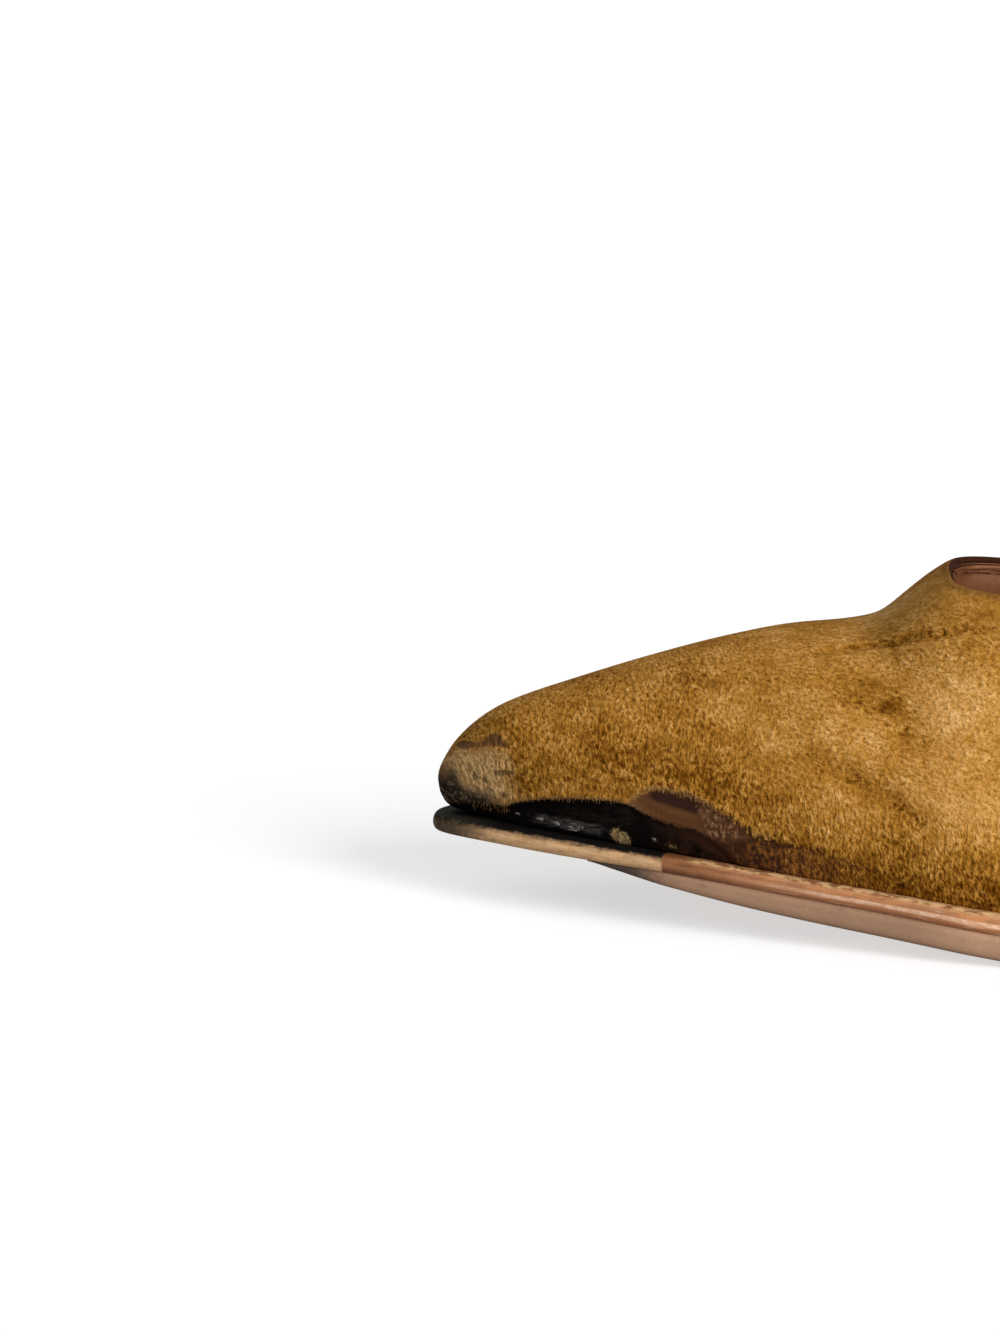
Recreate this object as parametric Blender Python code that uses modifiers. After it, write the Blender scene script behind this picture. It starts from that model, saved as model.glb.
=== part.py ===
"""Slingback flat, one left shoe, built in Blender.

Frame: metres, +Z up, the toe points to -X and the heel to +X.
The outer side of the foot is -Y. The shoe stands on z = 0.
Sizes below are millimetres; s is the distance behind the toe tip of the sole.
"""
import math

import bpy
from mathutils import Vector

MM = 0.001

# Named sizes in millimetres
LENGTH = 248.0
GAP = 0.3
PLAN_SHIFT = 0.35
WALL = 2.0
INSOLE_THICK = 1.4
OUTSOLE_FROM = 26.0
HEEL_FROM = 190.0
HEEL_TOP = 7.0

# Throat and collar in millimetres; apex and knee are shares, blunt and power shape the curves
THROAT_AT = 85.8
THROAT_DEEP = 12.2
THROAT_OUTER_BLUNT = 4.0
THROAT_INNER_BLUNT = 2.5
THROAT_APEX = -0.4
WARP_FROM = 58.0
COLLAR_RISE = 9.2
COLLAR_REACH = 12.0
COLLAR_KNEE = 0.12
COLLAR_POWER = 1.2
COLLAR_FADE_FROM = 104.0
COLLAR_FADE_TO = 142.0
COLLAR_SAMPLES = 40
BULGE_TALL = 26.0

# Strap in millimetres; lean is in degrees, slope, calm and blunt are shares
STRAP_WIDE = 12.0
STRAP_THICK = 2.2
STRAP_CHAMFER = 0.7
STRAP_CLEAR = 1.9
STRAP_HEEL_FROM = 198.0
STRAP_BACK = 243.5
STRAP_HALF = 24.5
STRAP_LEAN = 14.0
STRAP_SLOPE = 0.33
STRAP_CALM = 0.4
STRAP_BLUNT = 0.5
STRAP_WING_ROWS = (134.0, 142.0, 150.0)
STRAP_BRIDGE_PARTS = (0.25, 0.5, 0.75)
STRAP_HEEL_TURNS = (0.0, 15.0, 30.0, 45.0, 60.0, 75.0, 90.0)
STRAP_STEPS = 3

# Small steps for slopes, along the shoe in millimetres and over the last in radians
ROW_STEP = 1.0
ANGLE_STEP = 0.02
SMOOTH_ANGLE = math.radians(40.0)

# Columns: s, half width, centre y of the sole's outline
SOLE_PLAN = (
    (0, 0.0, 6.0), (3, 6.3, 5.8), (8, 10.5, 5.6), (18, 16.2, 5.3), (32, 22.6, 4.9),
    (50, 29.6, 4.2), (70, 35.9, 2.8), (90, 39.7, 0.4), (100, 40.1, -0.6), (114, 38.9, -1.4),
    (135, 35.0, -2.0), (160, 31.0, -1.8), (185, 29.6, -0.9), (210, 30.4, -0.2),
    (230, 27.3, 0.0), (242, 17.5, 0.0), (248, 0.0, 0.0))

# Columns: s, top of the midsole, midsole thickness, outsole thickness
SOLE_SIDE = (
    (0, 13.6, 3.0, 0.4), (10, 14.1, 3.2, 0.4), (18, 13.9, 3.3, 0.4), (27, 13.5, 3.2, 0.6),
    (40, 12.9, 3.0, 2.6), (57, 11.9, 3.1, 3.8), (79, 10.4, 3.3, 4.3), (98, 8.7, 3.5, 4.5),
    (107, 8.1, 3.5, 4.6), (127, 8.1, 3.5, 4.6), (150, 10.3, 3.5, 4.5), (172, 13.4, 3.5, 4.3),
    (190, 15.1, 3.5, 4.3), (248, 15.1, 3.5, 4.3))

# Columns: s, ridge height over the sole, ridge place from outer 0 to inner 1, section roundness
LAST = (
    (0, 0.0, 0.50, 2.4), (1, 7.6, 0.50, 2.4), (5, 13.9, 0.51, 2.4), (10, 18.0, 0.51, 2.4),
    (22, 23.5, 0.52, 2.3), (36, 28.9, 0.54, 2.2), (50, 33.7, 0.56, 2.1), (63, 37.4, 0.58, 2.05),
    (76, 40.0, 0.59, 2.0), (98, 43.7, 0.60, 2.0), (120, 46.0, 0.57, 2.0), (150, 46.0, 0.54, 2.0),
    (190, 46.0, 0.52, 2.0), (248, 46.0, 0.50, 2.0))

# Columns: s, inset of the upper from the sole's edge, bulge over that line
MARGIN = ((0, 2.0, 2.4), (12, 2.4, 1.9), (30, 1.9, 1.3), (60, 1.8, 1.0), (176, 1.8, 0.8), (248, 1.8, 0.8))

# Columns: s, inset of the insole from the sole's edge
INSOLE_PLAN = ((0, 6.2), (12, 5.6), (30, 4.9), (150, 4.9), (176, 4.7), (190, 2.2), (248, 1.8))

# Columns: s, angle of the topline on the outer side and on the inner side, degrees
TOPLINE = (
    (98, 64.0, 77.0), (108, 57.5, 67.0), (120, 48.0, 54.5), (140, 34.0, 35.0),
    (151, 24.0, 23.5), (160, 12.0, 11.5), (170, 6.0, 6.0), (176, 3.0, 3.0))

# Columns: s, height of the strap's middle line
STRAP_RISE = (
    (134, 24.5), (150, 29.5), (170, 37.0), (196, 46.5), (222, 53.0), (240, 57.0), (243.5, 57.3),
    (248, 57.3))

# Side profiles of the layers. Columns: inset, share of the layer's height
MIDSOLE_EDGE = ((0.9, 0.0), (0.25, 0.18), (0.0, 0.5), (0.25, 0.82), (0.9, 1.0))
OUTSOLE_EDGE = ((1.5, 0.0), (1.0, 0.2), (0.8, 1.0))
HEEL_EDGE = ((1.8, 0.0), (1.2, 0.09), (1.0, 1.0))
INSOLE_EDGE = ((0.0, 0.0), (0.1, 0.7), (0.5, 1.0))

# Rows of the upper and of the sole behind the toe tip
TOE_ROWS = (
    0, 0.25, 1, 2.2, 4, 6.5, 10, 14, 19, 25, 31, 37, 43, 49, 55, 61, 67, 71.5, 75, 78.5, 82, 85.5,
    89, 92, 95, 98)
WING_ROWS = (102, 106.5, 111.5, 117, 124, 131, 138, 145, 151, 156, 160, 164, 167, 170, 173, 176)
SIDE_COLUMNS = 8
THROAT_COLUMNS = 14
SOLE_ROWS = (
    0, 0.25, 1, 2.2, 4, 6.5, 10, 14, 19, 26, 33, 40, 48, 57, 68, 79, 90, 98, 106, 116, 126,
    134, 142, 150, 158, 166, 174, 182, 190, 198, 206, 214, 222, 229, 235, 240, 244, 246.4, 247.6, 248)


def spread(s):
    """Abscissa that opens up the rounded toe and heel ends."""
    return math.acos(max(-1.0, min(1.0, 1.0 - 2.0 * s / LENGTH))) / math.pi


def along(table, column, s):
    """Smooth value of one column of a table at s, with no overshoot."""
    x = [spread(row[0]) for row in table]
    y = [float(row[column]) for row in table]
    step = [b - a for a, b in zip(x, x[1:])]
    rise = [(b - a) / h for a, b, h in zip(y, y[1:], step)]
    slope = [rise[0]]
    for i in range(1, len(rise)):
        if rise[i - 1] * rise[i] <= 0.0:
            slope.append(0.0)
        else:
            first = 2.0 * step[i] + step[i - 1]
            second = step[i] + 2.0 * step[i - 1]
            slope.append((first + second) / (first / rise[i - 1] + second / rise[i]))
    slope.append(rise[-1])
    at = max(x[0], min(x[-1], spread(s)))
    i = max(k for k in range(len(step)) if at >= x[k] or k == 0)
    u = (at - x[i]) / step[i]
    v = 1.0 - u
    return (v * v * (1.0 + 2.0 * u) * y[i] + u * v * v * step[i] * slope[i]
            + u * u * (3.0 - 2.0 * u) * y[i + 1] - u * u * v * step[i] * slope[i + 1])


def edge_point(side, s):
    """Point of the sole's outline, side -1 is the outer side and +1 the inner side."""
    return Vector((s, PLAN_SHIFT + along(SOLE_PLAN, 2, s) + side * along(SOLE_PLAN, 1, s)))


def edge_normal(side, s):
    """Outward direction of the outline in plan."""
    if s <= 0.0:
        return Vector((-1.0, 0.0))
    if s >= LENGTH:
        return Vector((1.0, 0.0))
    reach = 0.5 * min(ROW_STEP, s, LENGTH - s)
    run = edge_point(side, s + reach) - edge_point(side, s - reach)
    return Vector((run.y, -run.x)).normalized() * -side


def inset_point(side, s, inset):
    """Outline point moved inward by an inset."""
    return edge_point(side, s) - inset * edge_normal(side, s)


def sole_top(s):
    """Height of the midsole's top, the line where upper and sole meet."""
    return along(SOLE_SIDE, 1, s)


def midsole_bottom(s):
    """Height of the midsole's underside."""
    return sole_top(s) - along(SOLE_SIDE, 2, s)


def outsole_top(s):
    """Height of the outsole's upper face, a gap below the midsole."""
    return midsole_bottom(s) - GAP


def outsole_bottom(s):
    """Height of the outsole's underside, the walking surface in front of the heel lift."""
    return midsole_bottom(s) - along(SOLE_SIDE, 3, s)


def insole_bottom(s):
    """Height of the insole's underside, a gap over the midsole."""
    return sole_top(s) + GAP


def insole_top(s):
    """Height of the surface that the foot rests on."""
    return insole_bottom(s) + INSOLE_THICK


def last_base(s, angle):
    """Point of the last at s and at an angle from the outer edge 0 to the inner edge pi."""
    inset = along(MARGIN, 1, s)
    outer = inset_point(-1, s, inset)
    inner = inset_point(1, s, inset)
    tall = along(LAST, 1, s)
    ridge = along(LAST, 2, s)
    power = 2.0 / along(LAST, 3, s)
    across = abs(math.cos(angle)) ** power
    place = ridge * (1.0 - across) if angle <= math.pi / 2 else ridge + (1.0 - ridge) * across
    high = tall * max(0.0, math.sin(angle)) ** power
    plan = outer.lerp(inner, place)
    swell = along(MARGIN, 2, s) * math.sin(math.pi * min(1.0, high / BULGE_TALL))
    half = 0.5 + 0.5 * math.cos(angle)
    plan = plan + swell * (half * edge_normal(-1, s) + (1.0 - half) * edge_normal(1, s))
    return Vector((plan.x, plan.y, sole_top(plan.x) + GAP + high))


def topline_angle(side, s):
    """Angle of the topline at s, counted from the outer edge."""
    degrees = along(TOPLINE, 1 if side < 0 else 2, max(s, TOPLINE[0][0]))
    return math.radians(degrees if side < 0 else 180.0 - degrees)


def throat_place(turn):
    """Point (s, angle) of the throat's front curve, turn runs from -1 outer to +1 inner."""
    start = topline_angle(-1, TOPLINE[0][0])
    stop = topline_angle(1, TOPLINE[0][0])
    angle = 0.5 * (start + stop) + 0.5 * (stop - start) * turn
    if turn < THROAT_APEX:
        part = ((THROAT_APEX - turn) / (1.0 + THROAT_APEX)) ** THROAT_OUTER_BLUNT
    else:
        part = ((turn - THROAT_APEX) / (1.0 - THROAT_APEX)) ** THROAT_INNER_BLUNT
    return THROAT_AT + THROAT_DEEP * part, angle


def topline_samples():
    """Points of the whole topline on the last, used to lift the collar around it."""
    places = [throat_place(k / COLLAR_SAMPLES) for k in range(-COLLAR_SAMPLES, COLLAR_SAMPLES + 1)]
    row = TOPLINE[0][0] + ROW_STEP
    while row <= COLLAR_FADE_TO:
        places.append((row, topline_angle(-1, row)))
        places.append((row, topline_angle(1, row)))
        row += ROW_STEP
    return [last_base(s, angle) for s, angle in places]


COLLAR_LINE = topline_samples()


def last_point(s, angle):
    """Point of the upper's outside: the last with the collar lifted around the throat."""
    point = last_base(s, angle)
    near = min((point - other).length for other in COLLAR_LINE)
    part = 1.0 - near / COLLAR_REACH
    part = min(1.0, 0.5 * (part + math.hypot(part, COLLAR_KNEE)))
    lift = 1.0 - (1.0 - part) ** COLLAR_POWER
    fade = (COLLAR_FADE_TO - point.x) / (COLLAR_FADE_TO - COLLAR_FADE_FROM)
    return point + Vector((0.0, 0.0, COLLAR_RISE * lift * max(0.0, min(1.0, fade))))


def placed(point):
    """Millimetres along the shoe to metres about the middle of the sole."""
    return ((point[0] - LENGTH / 2) * MM, point[1] * MM, point[2] * MM)


def material(name, colour, roughness):
    """Plain Principled material of one node."""
    made = bpy.data.materials.new(name)
    made.use_nodes = True
    shader = made.node_tree.nodes["Principled BSDF"]
    shader.inputs["Base Color"].default_value = (*colour, 1.0)
    shader.inputs["Roughness"].default_value = roughness
    made.diffuse_color = (*colour, 1.0)
    return made


def make_object(name, points, faces, surface):
    """Mesh object of one node, in the shoe's collection."""
    mesh = bpy.data.meshes.new(name)
    mesh.from_pydata([placed(p) for p in points], [], faces)
    mesh.update()
    mesh.shade_smooth()
    mesh.set_sharp_from_angle(angle=SMOOTH_ANGLE)
    mesh.materials.append(surface)
    made = bpy.data.objects.new(name, mesh)
    COLLECTION.objects.link(made)
    return made


def no_margin(s):
    """Margin of a layer that reaches the sole's outline."""
    return 0.0


def insole_margin(s):
    """Margin of the insole, inside the upper."""
    return along(INSOLE_PLAN, 1, s)


def floor_level(s):
    """Height of the floor."""
    return 0.0


def heel_top(s):
    """Height of the heel lift's upper face."""
    return HEEL_TOP


def sole_body(name, rows, margin, edge, low, high, surface):
    """Closed layer of the sole between two heights, with a side profile from an edge table."""
    tip = rows[0] <= 0.0
    heel = rows[-1] >= LENGTH
    last = len(rows) - 1
    order = [(-1, i) for i in range(last + 1)]
    order += [(1, i) for i in range(last, -1, -1) if not (tip and i == 0) and not (heel and i == last)]
    place = {key: k for k, key in enumerate(order)}
    place.setdefault((1, 0), place[(-1, 0)])
    place.setdefault((1, last), place[(-1, last)])
    count = len(order)
    points = []
    for inset, share in edge:
        for side, i in order:
            plan = inset_point(side, rows[i], margin(rows[i]) + inset)
            points.append((plan.x, plan.y, low(plan.x) + share * (high(plan.x) - low(plan.x))))
    faces = []
    for ring in range(len(edge) - 1):
        under = ring * count
        over = under + count
        for k in range(count):
            after = (k + 1) % count
            faces.append((under + k, under + after, over + after, over + k))
    top = (len(edge) - 1) * count
    for i in range(last):
        strip = []
        for key in ((-1, i), (-1, i + 1), (1, i + 1), (1, i)):
            if place[key] not in strip:
                strip.append(place[key])
        faces.append(tuple(top + k for k in strip))
        faces.append(tuple(reversed(strip)))
    return make_object(name, points, faces, surface)


def upper_grid():
    """Points and faces of the open outer surface of the upper."""
    columns = [(-1, j / SIDE_COLUMNS) for j in range(SIDE_COLUMNS)]
    columns += [(0, math.sin(math.pi * (j / THROAT_COLUMNS - 0.5))) for j in range(THROAT_COLUMNS + 1)]
    columns += [(1, j / SIDE_COLUMNS) for j in range(SIDE_COLUMNS - 1, -1, -1)]
    points = []
    index = {}
    faces = []
    edge = TOE_ROWS[-1]
    for i, row in enumerate(TOE_ROWS):
        for j, (side, part) in enumerate(columns):
            end = edge
            if side == 0:
                end, angle = throat_place(part)
            elif side < 0:
                angle = topline_angle(-1, edge) * part
            else:
                angle = math.pi - (math.pi - topline_angle(1, edge)) * part
            s = row
            if row > WARP_FROM:
                s = WARP_FROM + (row - WARP_FROM) * (end - WARP_FROM) / (edge - WARP_FROM)
            if i == 0 and j > 0:
                index[(i, j)] = 0
                continue
            index[(i, j)] = len(points)
            points.append(last_point(s, angle))
    for i in range(len(TOE_ROWS) - 1):
        for j in range(len(columns) - 1):
            quad = (index[(i, j)], index[(i, j + 1)], index[(i + 1, j + 1)], index[(i + 1, j)])
            faces.append(tuple(reversed(quad)) if i > 0 else (quad[0], quad[3], quad[2]))
    for side in (-1, 1):
        inner = SIDE_COLUMNS if side < 0 else len(columns) - 1 - SIDE_COLUMNS
        near = [index[(len(TOE_ROWS) - 1, inner + side * k)] for k in range(SIDE_COLUMNS + 1)]
        for row in WING_ROWS:
            line = []
            for k in range(SIDE_COLUMNS + 1):
                part = 1.0 - k / SIDE_COLUMNS
                angle = topline_angle(side, row)
                angle = angle * part if side < 0 else math.pi - (math.pi - angle) * part
                line.append(len(points))
                points.append(last_point(row, angle))
            for k in range(SIDE_COLUMNS):
                quad = (near[k], near[k + 1], line[k + 1], line[k])
                faces.append(quad if side < 0 else tuple(reversed(quad)))
            near = line
    return points, faces


def upper_body(name, surface):
    """Upper as one open surface with a real wall, grown inward."""
    made = make_object(name, *upper_grid(), surface)
    wall = made.modifiers.new("wall", "SOLIDIFY")
    wall.thickness = WALL * MM
    wall.offset = -1.0
    wall.use_even_offset = False
    return made


def height_angle(side, s, height):
    """Angle on the last at which its surface reaches a height, found by halving."""
    low = 0.0
    high = math.pi / 2
    while high - low > ANGLE_STEP * MM:
        middle = 0.5 * (low + high)
        angle = middle if side < 0 else math.pi - middle
        if last_base(s, angle).z < height:
            low = middle
        else:
            high = middle
    return low if side < 0 else math.pi - low


def strap_half(side):
    """Middle line and width direction of one half of the strap, from wing to heel back."""
    line = []
    for s in STRAP_WING_ROWS:
        angle = height_angle(side, s, along(STRAP_RISE, 1, s))
        turn = -side * ANGLE_STEP
        up = (last_base(s, angle + turn) - last_base(s, angle - turn)).normalized()
        ahead = (last_base(s + ROW_STEP, angle) - last_base(s - ROW_STEP, angle)).normalized()
        out = up.cross(ahead).normalized()
        out = out if out.y * side > 0.0 else -out
        line.append((last_base(s, angle) - out * (WALL + STRAP_CLEAR + STRAP_THICK / 2), up))
    lean = math.radians(STRAP_LEAN)
    heel = []
    for degrees in STRAP_HEEL_TURNS:
        turn = math.radians(degrees)
        s = STRAP_HEEL_FROM + (STRAP_BACK - STRAP_HEEL_FROM) * math.sin(turn)
        point = Vector((s, side * STRAP_HALF * math.cos(turn), along(STRAP_RISE, 1, s)))
        out = Vector((STRAP_BLUNT * math.sin(turn), side * math.cos(turn), 0.0)).normalized()
        up = Vector((0.0, 0.0, math.cos(lean))) - out * math.sin(lean)
        heel.append((point, up.normalized()))
    start, stop = line[-1], heel[0]
    span = stop[0].x - start[0].x
    leave = (start[0] - line[-2][0]) * (span / (start[0].x - line[-2][0].x))
    leave.y = STRAP_CALM * leave.y
    arrive = Vector((span, 0.0, span * STRAP_SLOPE))
    for u in STRAP_BRIDGE_PARTS:
        v = 1.0 - u
        point = (v * v * (1.0 + 2.0 * u) * start[0] + u * v * v * leave
                 + u * u * (3.0 - 2.0 * u) * stop[0] - u * u * v * arrive)
        line.append((point, (v * start[1] + u * stop[1]).normalized()))
    return line + heel


def between(a, b, c, d, u):
    """Catmull-Rom point between b and c."""
    return 0.5 * (2.0 * b + (c - a) * u + (2.0 * a - 5.0 * b + 4.0 * c - d) * u * u
                  + (3.0 * b - a - 3.0 * c + d) * u ** 3)


def strap_line():
    """Middle line and width direction of the whole strap, from the outer wing to the inner one."""
    knots = strap_half(-1) + list(reversed(strap_half(1)))[1:]
    line = []
    for k in range(len(knots) - 1):
        four = [knots[max(0, min(len(knots) - 1, k + n))] for n in (-1, 0, 1, 2)]
        for part in range(STRAP_STEPS):
            line.append(tuple(between(*[knot[n] for knot in four], part / STRAP_STEPS) for n in (0, 1)))
    line.append(knots[-1])
    return line


def strap_body(name, surface):
    """Closed flat strap with chamfered edges."""
    line = strap_line()
    half, thin = STRAP_WIDE / 2, STRAP_THICK / 2
    flat, edge = half - STRAP_CHAMFER, thin - STRAP_CHAMFER
    section = ((-half, -edge), (-flat, -thin), (flat, -thin), (half, -edge),
               (half, edge), (flat, thin), (-flat, thin), (-half, edge))
    count = len(section)
    points = []
    faces = []
    for k, (point, up) in enumerate(line):
        ahead = (line[min(k + 1, len(line) - 1)][0] - line[max(k - 1, 0)][0]).normalized()
        up = (up - ahead * up.dot(ahead)).normalized()
        out = ahead.cross(up)
        for wide, deep in section:
            points.append(point + up * wide + out * deep)
    for k in range(len(line) - 1):
        under = k * count
        over = under + count
        for n in range(count):
            after = (n + 1) % count
            faces.append((under + n, under + after, over + after, over + n))
    faces.append(tuple(range(count - 1, -1, -1)))
    faces.append(tuple(count * (len(line) - 1) + n for n in range(count)))
    return make_object(name, points, faces, surface)


for old in list(bpy.data.objects):
    bpy.data.objects.remove(old, do_unlink=True)

COLLECTION = bpy.data.collections.new("slingback_flat")
bpy.context.scene.collection.children.link(COLLECTION)

# Sole: midsole with a half-round edge, outsole wedge, heel lift and insole
OUTSOLE_ROWS = [s for s in SOLE_ROWS if s >= OUTSOLE_FROM]
HEEL_ROWS = [s for s in SOLE_ROWS if s >= HEEL_FROM]
SOLE_LEATHER = material("sole_leather", (0.26, 0.10, 0.045), 0.45)
RUBBER = material("sole_rubber", (0.27, 0.19, 0.12), 0.7)
LIFT_RUBBER = material("heel_rubber", (0.09, 0.07, 0.05), 0.8)
SOCK = material("sock_leather", (0.36, 0.19, 0.10), 0.6)
sole_body("midsole", SOLE_ROWS, no_margin, MIDSOLE_EDGE, midsole_bottom, sole_top, SOLE_LEATHER)
sole_body("outsole", OUTSOLE_ROWS, no_margin, OUTSOLE_EDGE, outsole_bottom, outsole_top, RUBBER)
sole_body("heel_lift", HEEL_ROWS, no_margin, HEEL_EDGE, floor_level, heel_top, LIFT_RUBBER)
sole_body("insole", SOLE_ROWS, insole_margin, INSOLE_EDGE, insole_bottom, insole_top, SOCK)

# Upper: one hollow wall, open at the throat, behind the wings and underneath
upper_body("upper", material("suede", (0.30, 0.15, 0.045), 0.95))

# Strap: plain band from wing to wing
strap_body("sling_strap", material("strap_suede", (0.28, 0.14, 0.045), 0.95))
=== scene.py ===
# %% [markdown]
# A worn slingback flat, dressed in Blender.
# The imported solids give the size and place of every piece. This lesson keeps that frame,
# rebuilds each piece as a finer mesh from the same last, and gives it the finish of a shoe
# that has been walked in: napped suede, a torn toe, a dyed leather edge and a dusty sole.

# %% Load the frame
import math

import bpy
import numpy as np
from mathutils import Matrix, Vector
from mathutils.kdtree import KDTree


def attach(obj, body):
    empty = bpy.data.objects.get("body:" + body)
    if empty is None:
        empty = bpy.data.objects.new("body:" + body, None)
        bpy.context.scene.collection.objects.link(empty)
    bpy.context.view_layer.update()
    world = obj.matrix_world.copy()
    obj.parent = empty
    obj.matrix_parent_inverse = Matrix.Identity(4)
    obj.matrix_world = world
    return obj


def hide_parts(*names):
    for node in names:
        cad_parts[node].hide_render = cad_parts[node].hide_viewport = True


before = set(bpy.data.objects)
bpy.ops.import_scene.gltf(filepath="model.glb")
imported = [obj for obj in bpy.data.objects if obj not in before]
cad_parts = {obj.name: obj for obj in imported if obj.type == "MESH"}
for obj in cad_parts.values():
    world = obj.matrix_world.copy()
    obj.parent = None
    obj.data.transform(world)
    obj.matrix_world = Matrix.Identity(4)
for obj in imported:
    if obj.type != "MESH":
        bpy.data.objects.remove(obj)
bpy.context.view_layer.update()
print("solids:", ", ".join(sorted(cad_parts)))

# %% [markdown]
# The shoe is measured the way a last maker measures it: s is the distance behind the toe tip,
# in millimetres, and each table below has one row for each section of the last. The solids
# were lofted from the same tables, so a piece made from them lies where its solid lies.

# %% Sizes of the last and the sole
MM = 0.001
TINY = 1e-12
LENGTH = 248.0
GAP = 0.3
WALL = 2.0
PLAN_SHIFT = 0.35
THROAT_AT = 85.8
THROAT_DEEP = 12.2
THROAT_OUTER_BLUNT = 4.0
THROAT_INNER_BLUNT = 2.5
THROAT_APEX = -0.4
WARP_FROM = 58.0
EDGE_ROW = 98.0
WING_END = 176.0
COLLAR_RISE = 9.2
COLLAR_REACH = 12.0
COLLAR_KNEE = 0.2
COLLAR_POWER = 1.2
COLLAR_FADE = (104.0, 142.0)
BULGE_TALL = 26.0

# Columns: s, half width, centre y of the sole's outline
SOLE_PLAN = np.array((
    (0, 0.0, 6.0), (3, 6.3, 5.8), (8, 10.5, 5.6), (18, 16.2, 5.3), (32, 22.6, 4.9),
    (50, 29.6, 4.2), (70, 35.9, 2.8), (90, 39.7, 0.4), (100, 40.1, -0.6), (114, 38.9, -1.4),
    (135, 35.0, -2.0), (160, 31.0, -1.8), (185, 29.6, -0.9), (210, 30.4, -0.2),
    (230, 27.3, 0.0), (242, 17.5, 0.0), (248, 0.0, 0.0)))

# Columns: s, top of the midsole, midsole thickness, outsole thickness
SOLE_SIDE = np.array((
    (0, 13.6, 3.0, 0.4), (10, 14.1, 3.2, 0.4), (18, 13.9, 3.3, 0.4), (27, 13.5, 3.2, 0.6),
    (40, 12.9, 3.0, 2.6), (57, 11.9, 3.1, 3.8), (79, 10.4, 3.3, 4.3), (98, 8.7, 3.5, 4.5),
    (107, 8.1, 3.5, 4.6), (127, 8.1, 3.5, 4.6), (150, 10.3, 3.5, 4.5), (172, 13.4, 3.5, 4.3),
    (190, 15.1, 3.5, 4.3), (248, 15.1, 3.5, 4.3)))

# Columns: s, ridge height over the sole, ridge place from outer 0 to inner 1, section roundness
LAST = np.array((
    (0, 0.0, 0.50, 2.4), (1, 7.6, 0.50, 2.4), (5, 13.9, 0.51, 2.4), (10, 18.0, 0.51, 2.4),
    (22, 23.5, 0.52, 2.3), (36, 28.9, 0.54, 2.2), (50, 33.7, 0.56, 2.1), (63, 37.4, 0.58, 2.05),
    (76, 40.0, 0.59, 2.0), (98, 43.7, 0.60, 2.0), (120, 46.0, 0.57, 2.0), (150, 46.0, 0.54, 2.0),
    (190, 46.0, 0.52, 2.0), (248, 46.0, 0.50, 2.0)))

# Columns: s, inset of the upper from the sole's edge, bulge over that line
MARGIN = np.array((
    (0, 2.0, 2.4), (12, 2.4, 1.9), (30, 1.9, 1.3), (60, 1.8, 1.0), (176, 1.8, 0.8), (248, 1.8, 0.8)))

# Columns: s, angle of the topline on the outer side and on the inner side, degrees
TOPLINE = np.array((
    (98, 64.0, 77.0), (108, 57.5, 67.0), (120, 48.0, 54.5), (140, 34.0, 35.0),
    (151, 24.0, 23.5), (160, 12.0, 11.5), (170, 6.0, 6.0), (176, 3.0, 3.0)))
print("sections of the sole:", len(SOLE_PLAN), "of the last:", len(LAST))

# %% [markdown]
# A table has few rows, and the curve between them could be any spline. This one is a cubic
# that never overshoots a row, so a flat stretch of the sole stays flat. At the round toe and
# heel the rows are spread apart first, because the outline turns fastest there. Blender works
# in metres about the middle of the shoe, so one more function moves points over.

# %% Reading the tables
NORMAL_REACH = (1e-6, 0.5)


def placed(points):
    """Millimetres along the shoe to metres about its middle."""
    return (np.asarray(points, float) - (LENGTH / 2, 0.0, 0.0)) * MM


def spread(s):
    """Abscissa that opens up the rounded toe and heel ends."""
    return np.arccos(np.clip(1.0 - 2.0 * np.asarray(s, float) / LENGTH, -1.0, 1.0)) / np.pi


def along(table, column, s):
    """Smooth value of one column of a table at s, with no overshoot."""
    x, y = spread(table[:, 0]), table[:, column]
    gap = np.diff(x)
    rise = np.diff(y) / gap
    slope = np.concatenate((rise[:1], np.zeros(len(rise) - 1), rise[-1:]))
    first, second = 2.0 * gap[1:] + gap[:-1], gap[1:] + 2.0 * gap[:-1]
    same = rise[:-1] * rise[1:] > 0.0
    before, after = np.where(same, rise[:-1], 1.0), np.where(same, rise[1:], 1.0)
    slope[1:-1] = np.where(same, (first + second) / (first / before + second / after), 0.0)
    at = np.clip(spread(s), x[0], x[-1])
    i = np.clip(np.searchsorted(x, at, side="right") - 1, 0, len(gap) - 1)
    u = (at - x[i]) / gap[i]
    v = 1.0 - u
    return (v * v * (1.0 + 2.0 * u) * y[i] + u * v * v * gap[i] * slope[i]
            + u * u * (3.0 - 2.0 * u) * y[i + 1] - u * u * v * gap[i] * slope[i + 1])


def edge_point(side, s):
    """Outline of the sole in plan; side -1 is the outer side and +1 the inner side."""
    middle = PLAN_SHIFT + along(SOLE_PLAN, 2, s)
    return np.stack((np.asarray(s, float), middle + side * along(SOLE_PLAN, 1, s)), -1)


def edge_normal(side, s):
    """Outward direction of the outline in plan."""
    s = np.asarray(s, float)
    reach = np.clip(0.5 * np.minimum(s, LENGTH - s), *NORMAL_REACH)
    ahead, behind = np.clip(s + reach, 0.0, LENGTH), np.clip(s - reach, 0.0, LENGTH)
    run = edge_point(side, ahead) - edge_point(side, behind)
    out = np.stack((run[..., 1], -run[..., 0]), -1) * -side
    out /= np.maximum(TINY, np.linalg.norm(out, axis=-1, keepdims=True))
    out[s <= 0.0] = (-1.0, 0.0)
    out[s >= LENGTH] = (1.0, 0.0)
    return out


def sole_top(s):
    """Height of the midsole's top, the line where upper and sole meet."""
    return along(SOLE_SIDE, 1, s)


print("sole width at the ball, mm:", round(2 * float(along(SOLE_PLAN, 1, EDGE_ROW)), 1))

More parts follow.
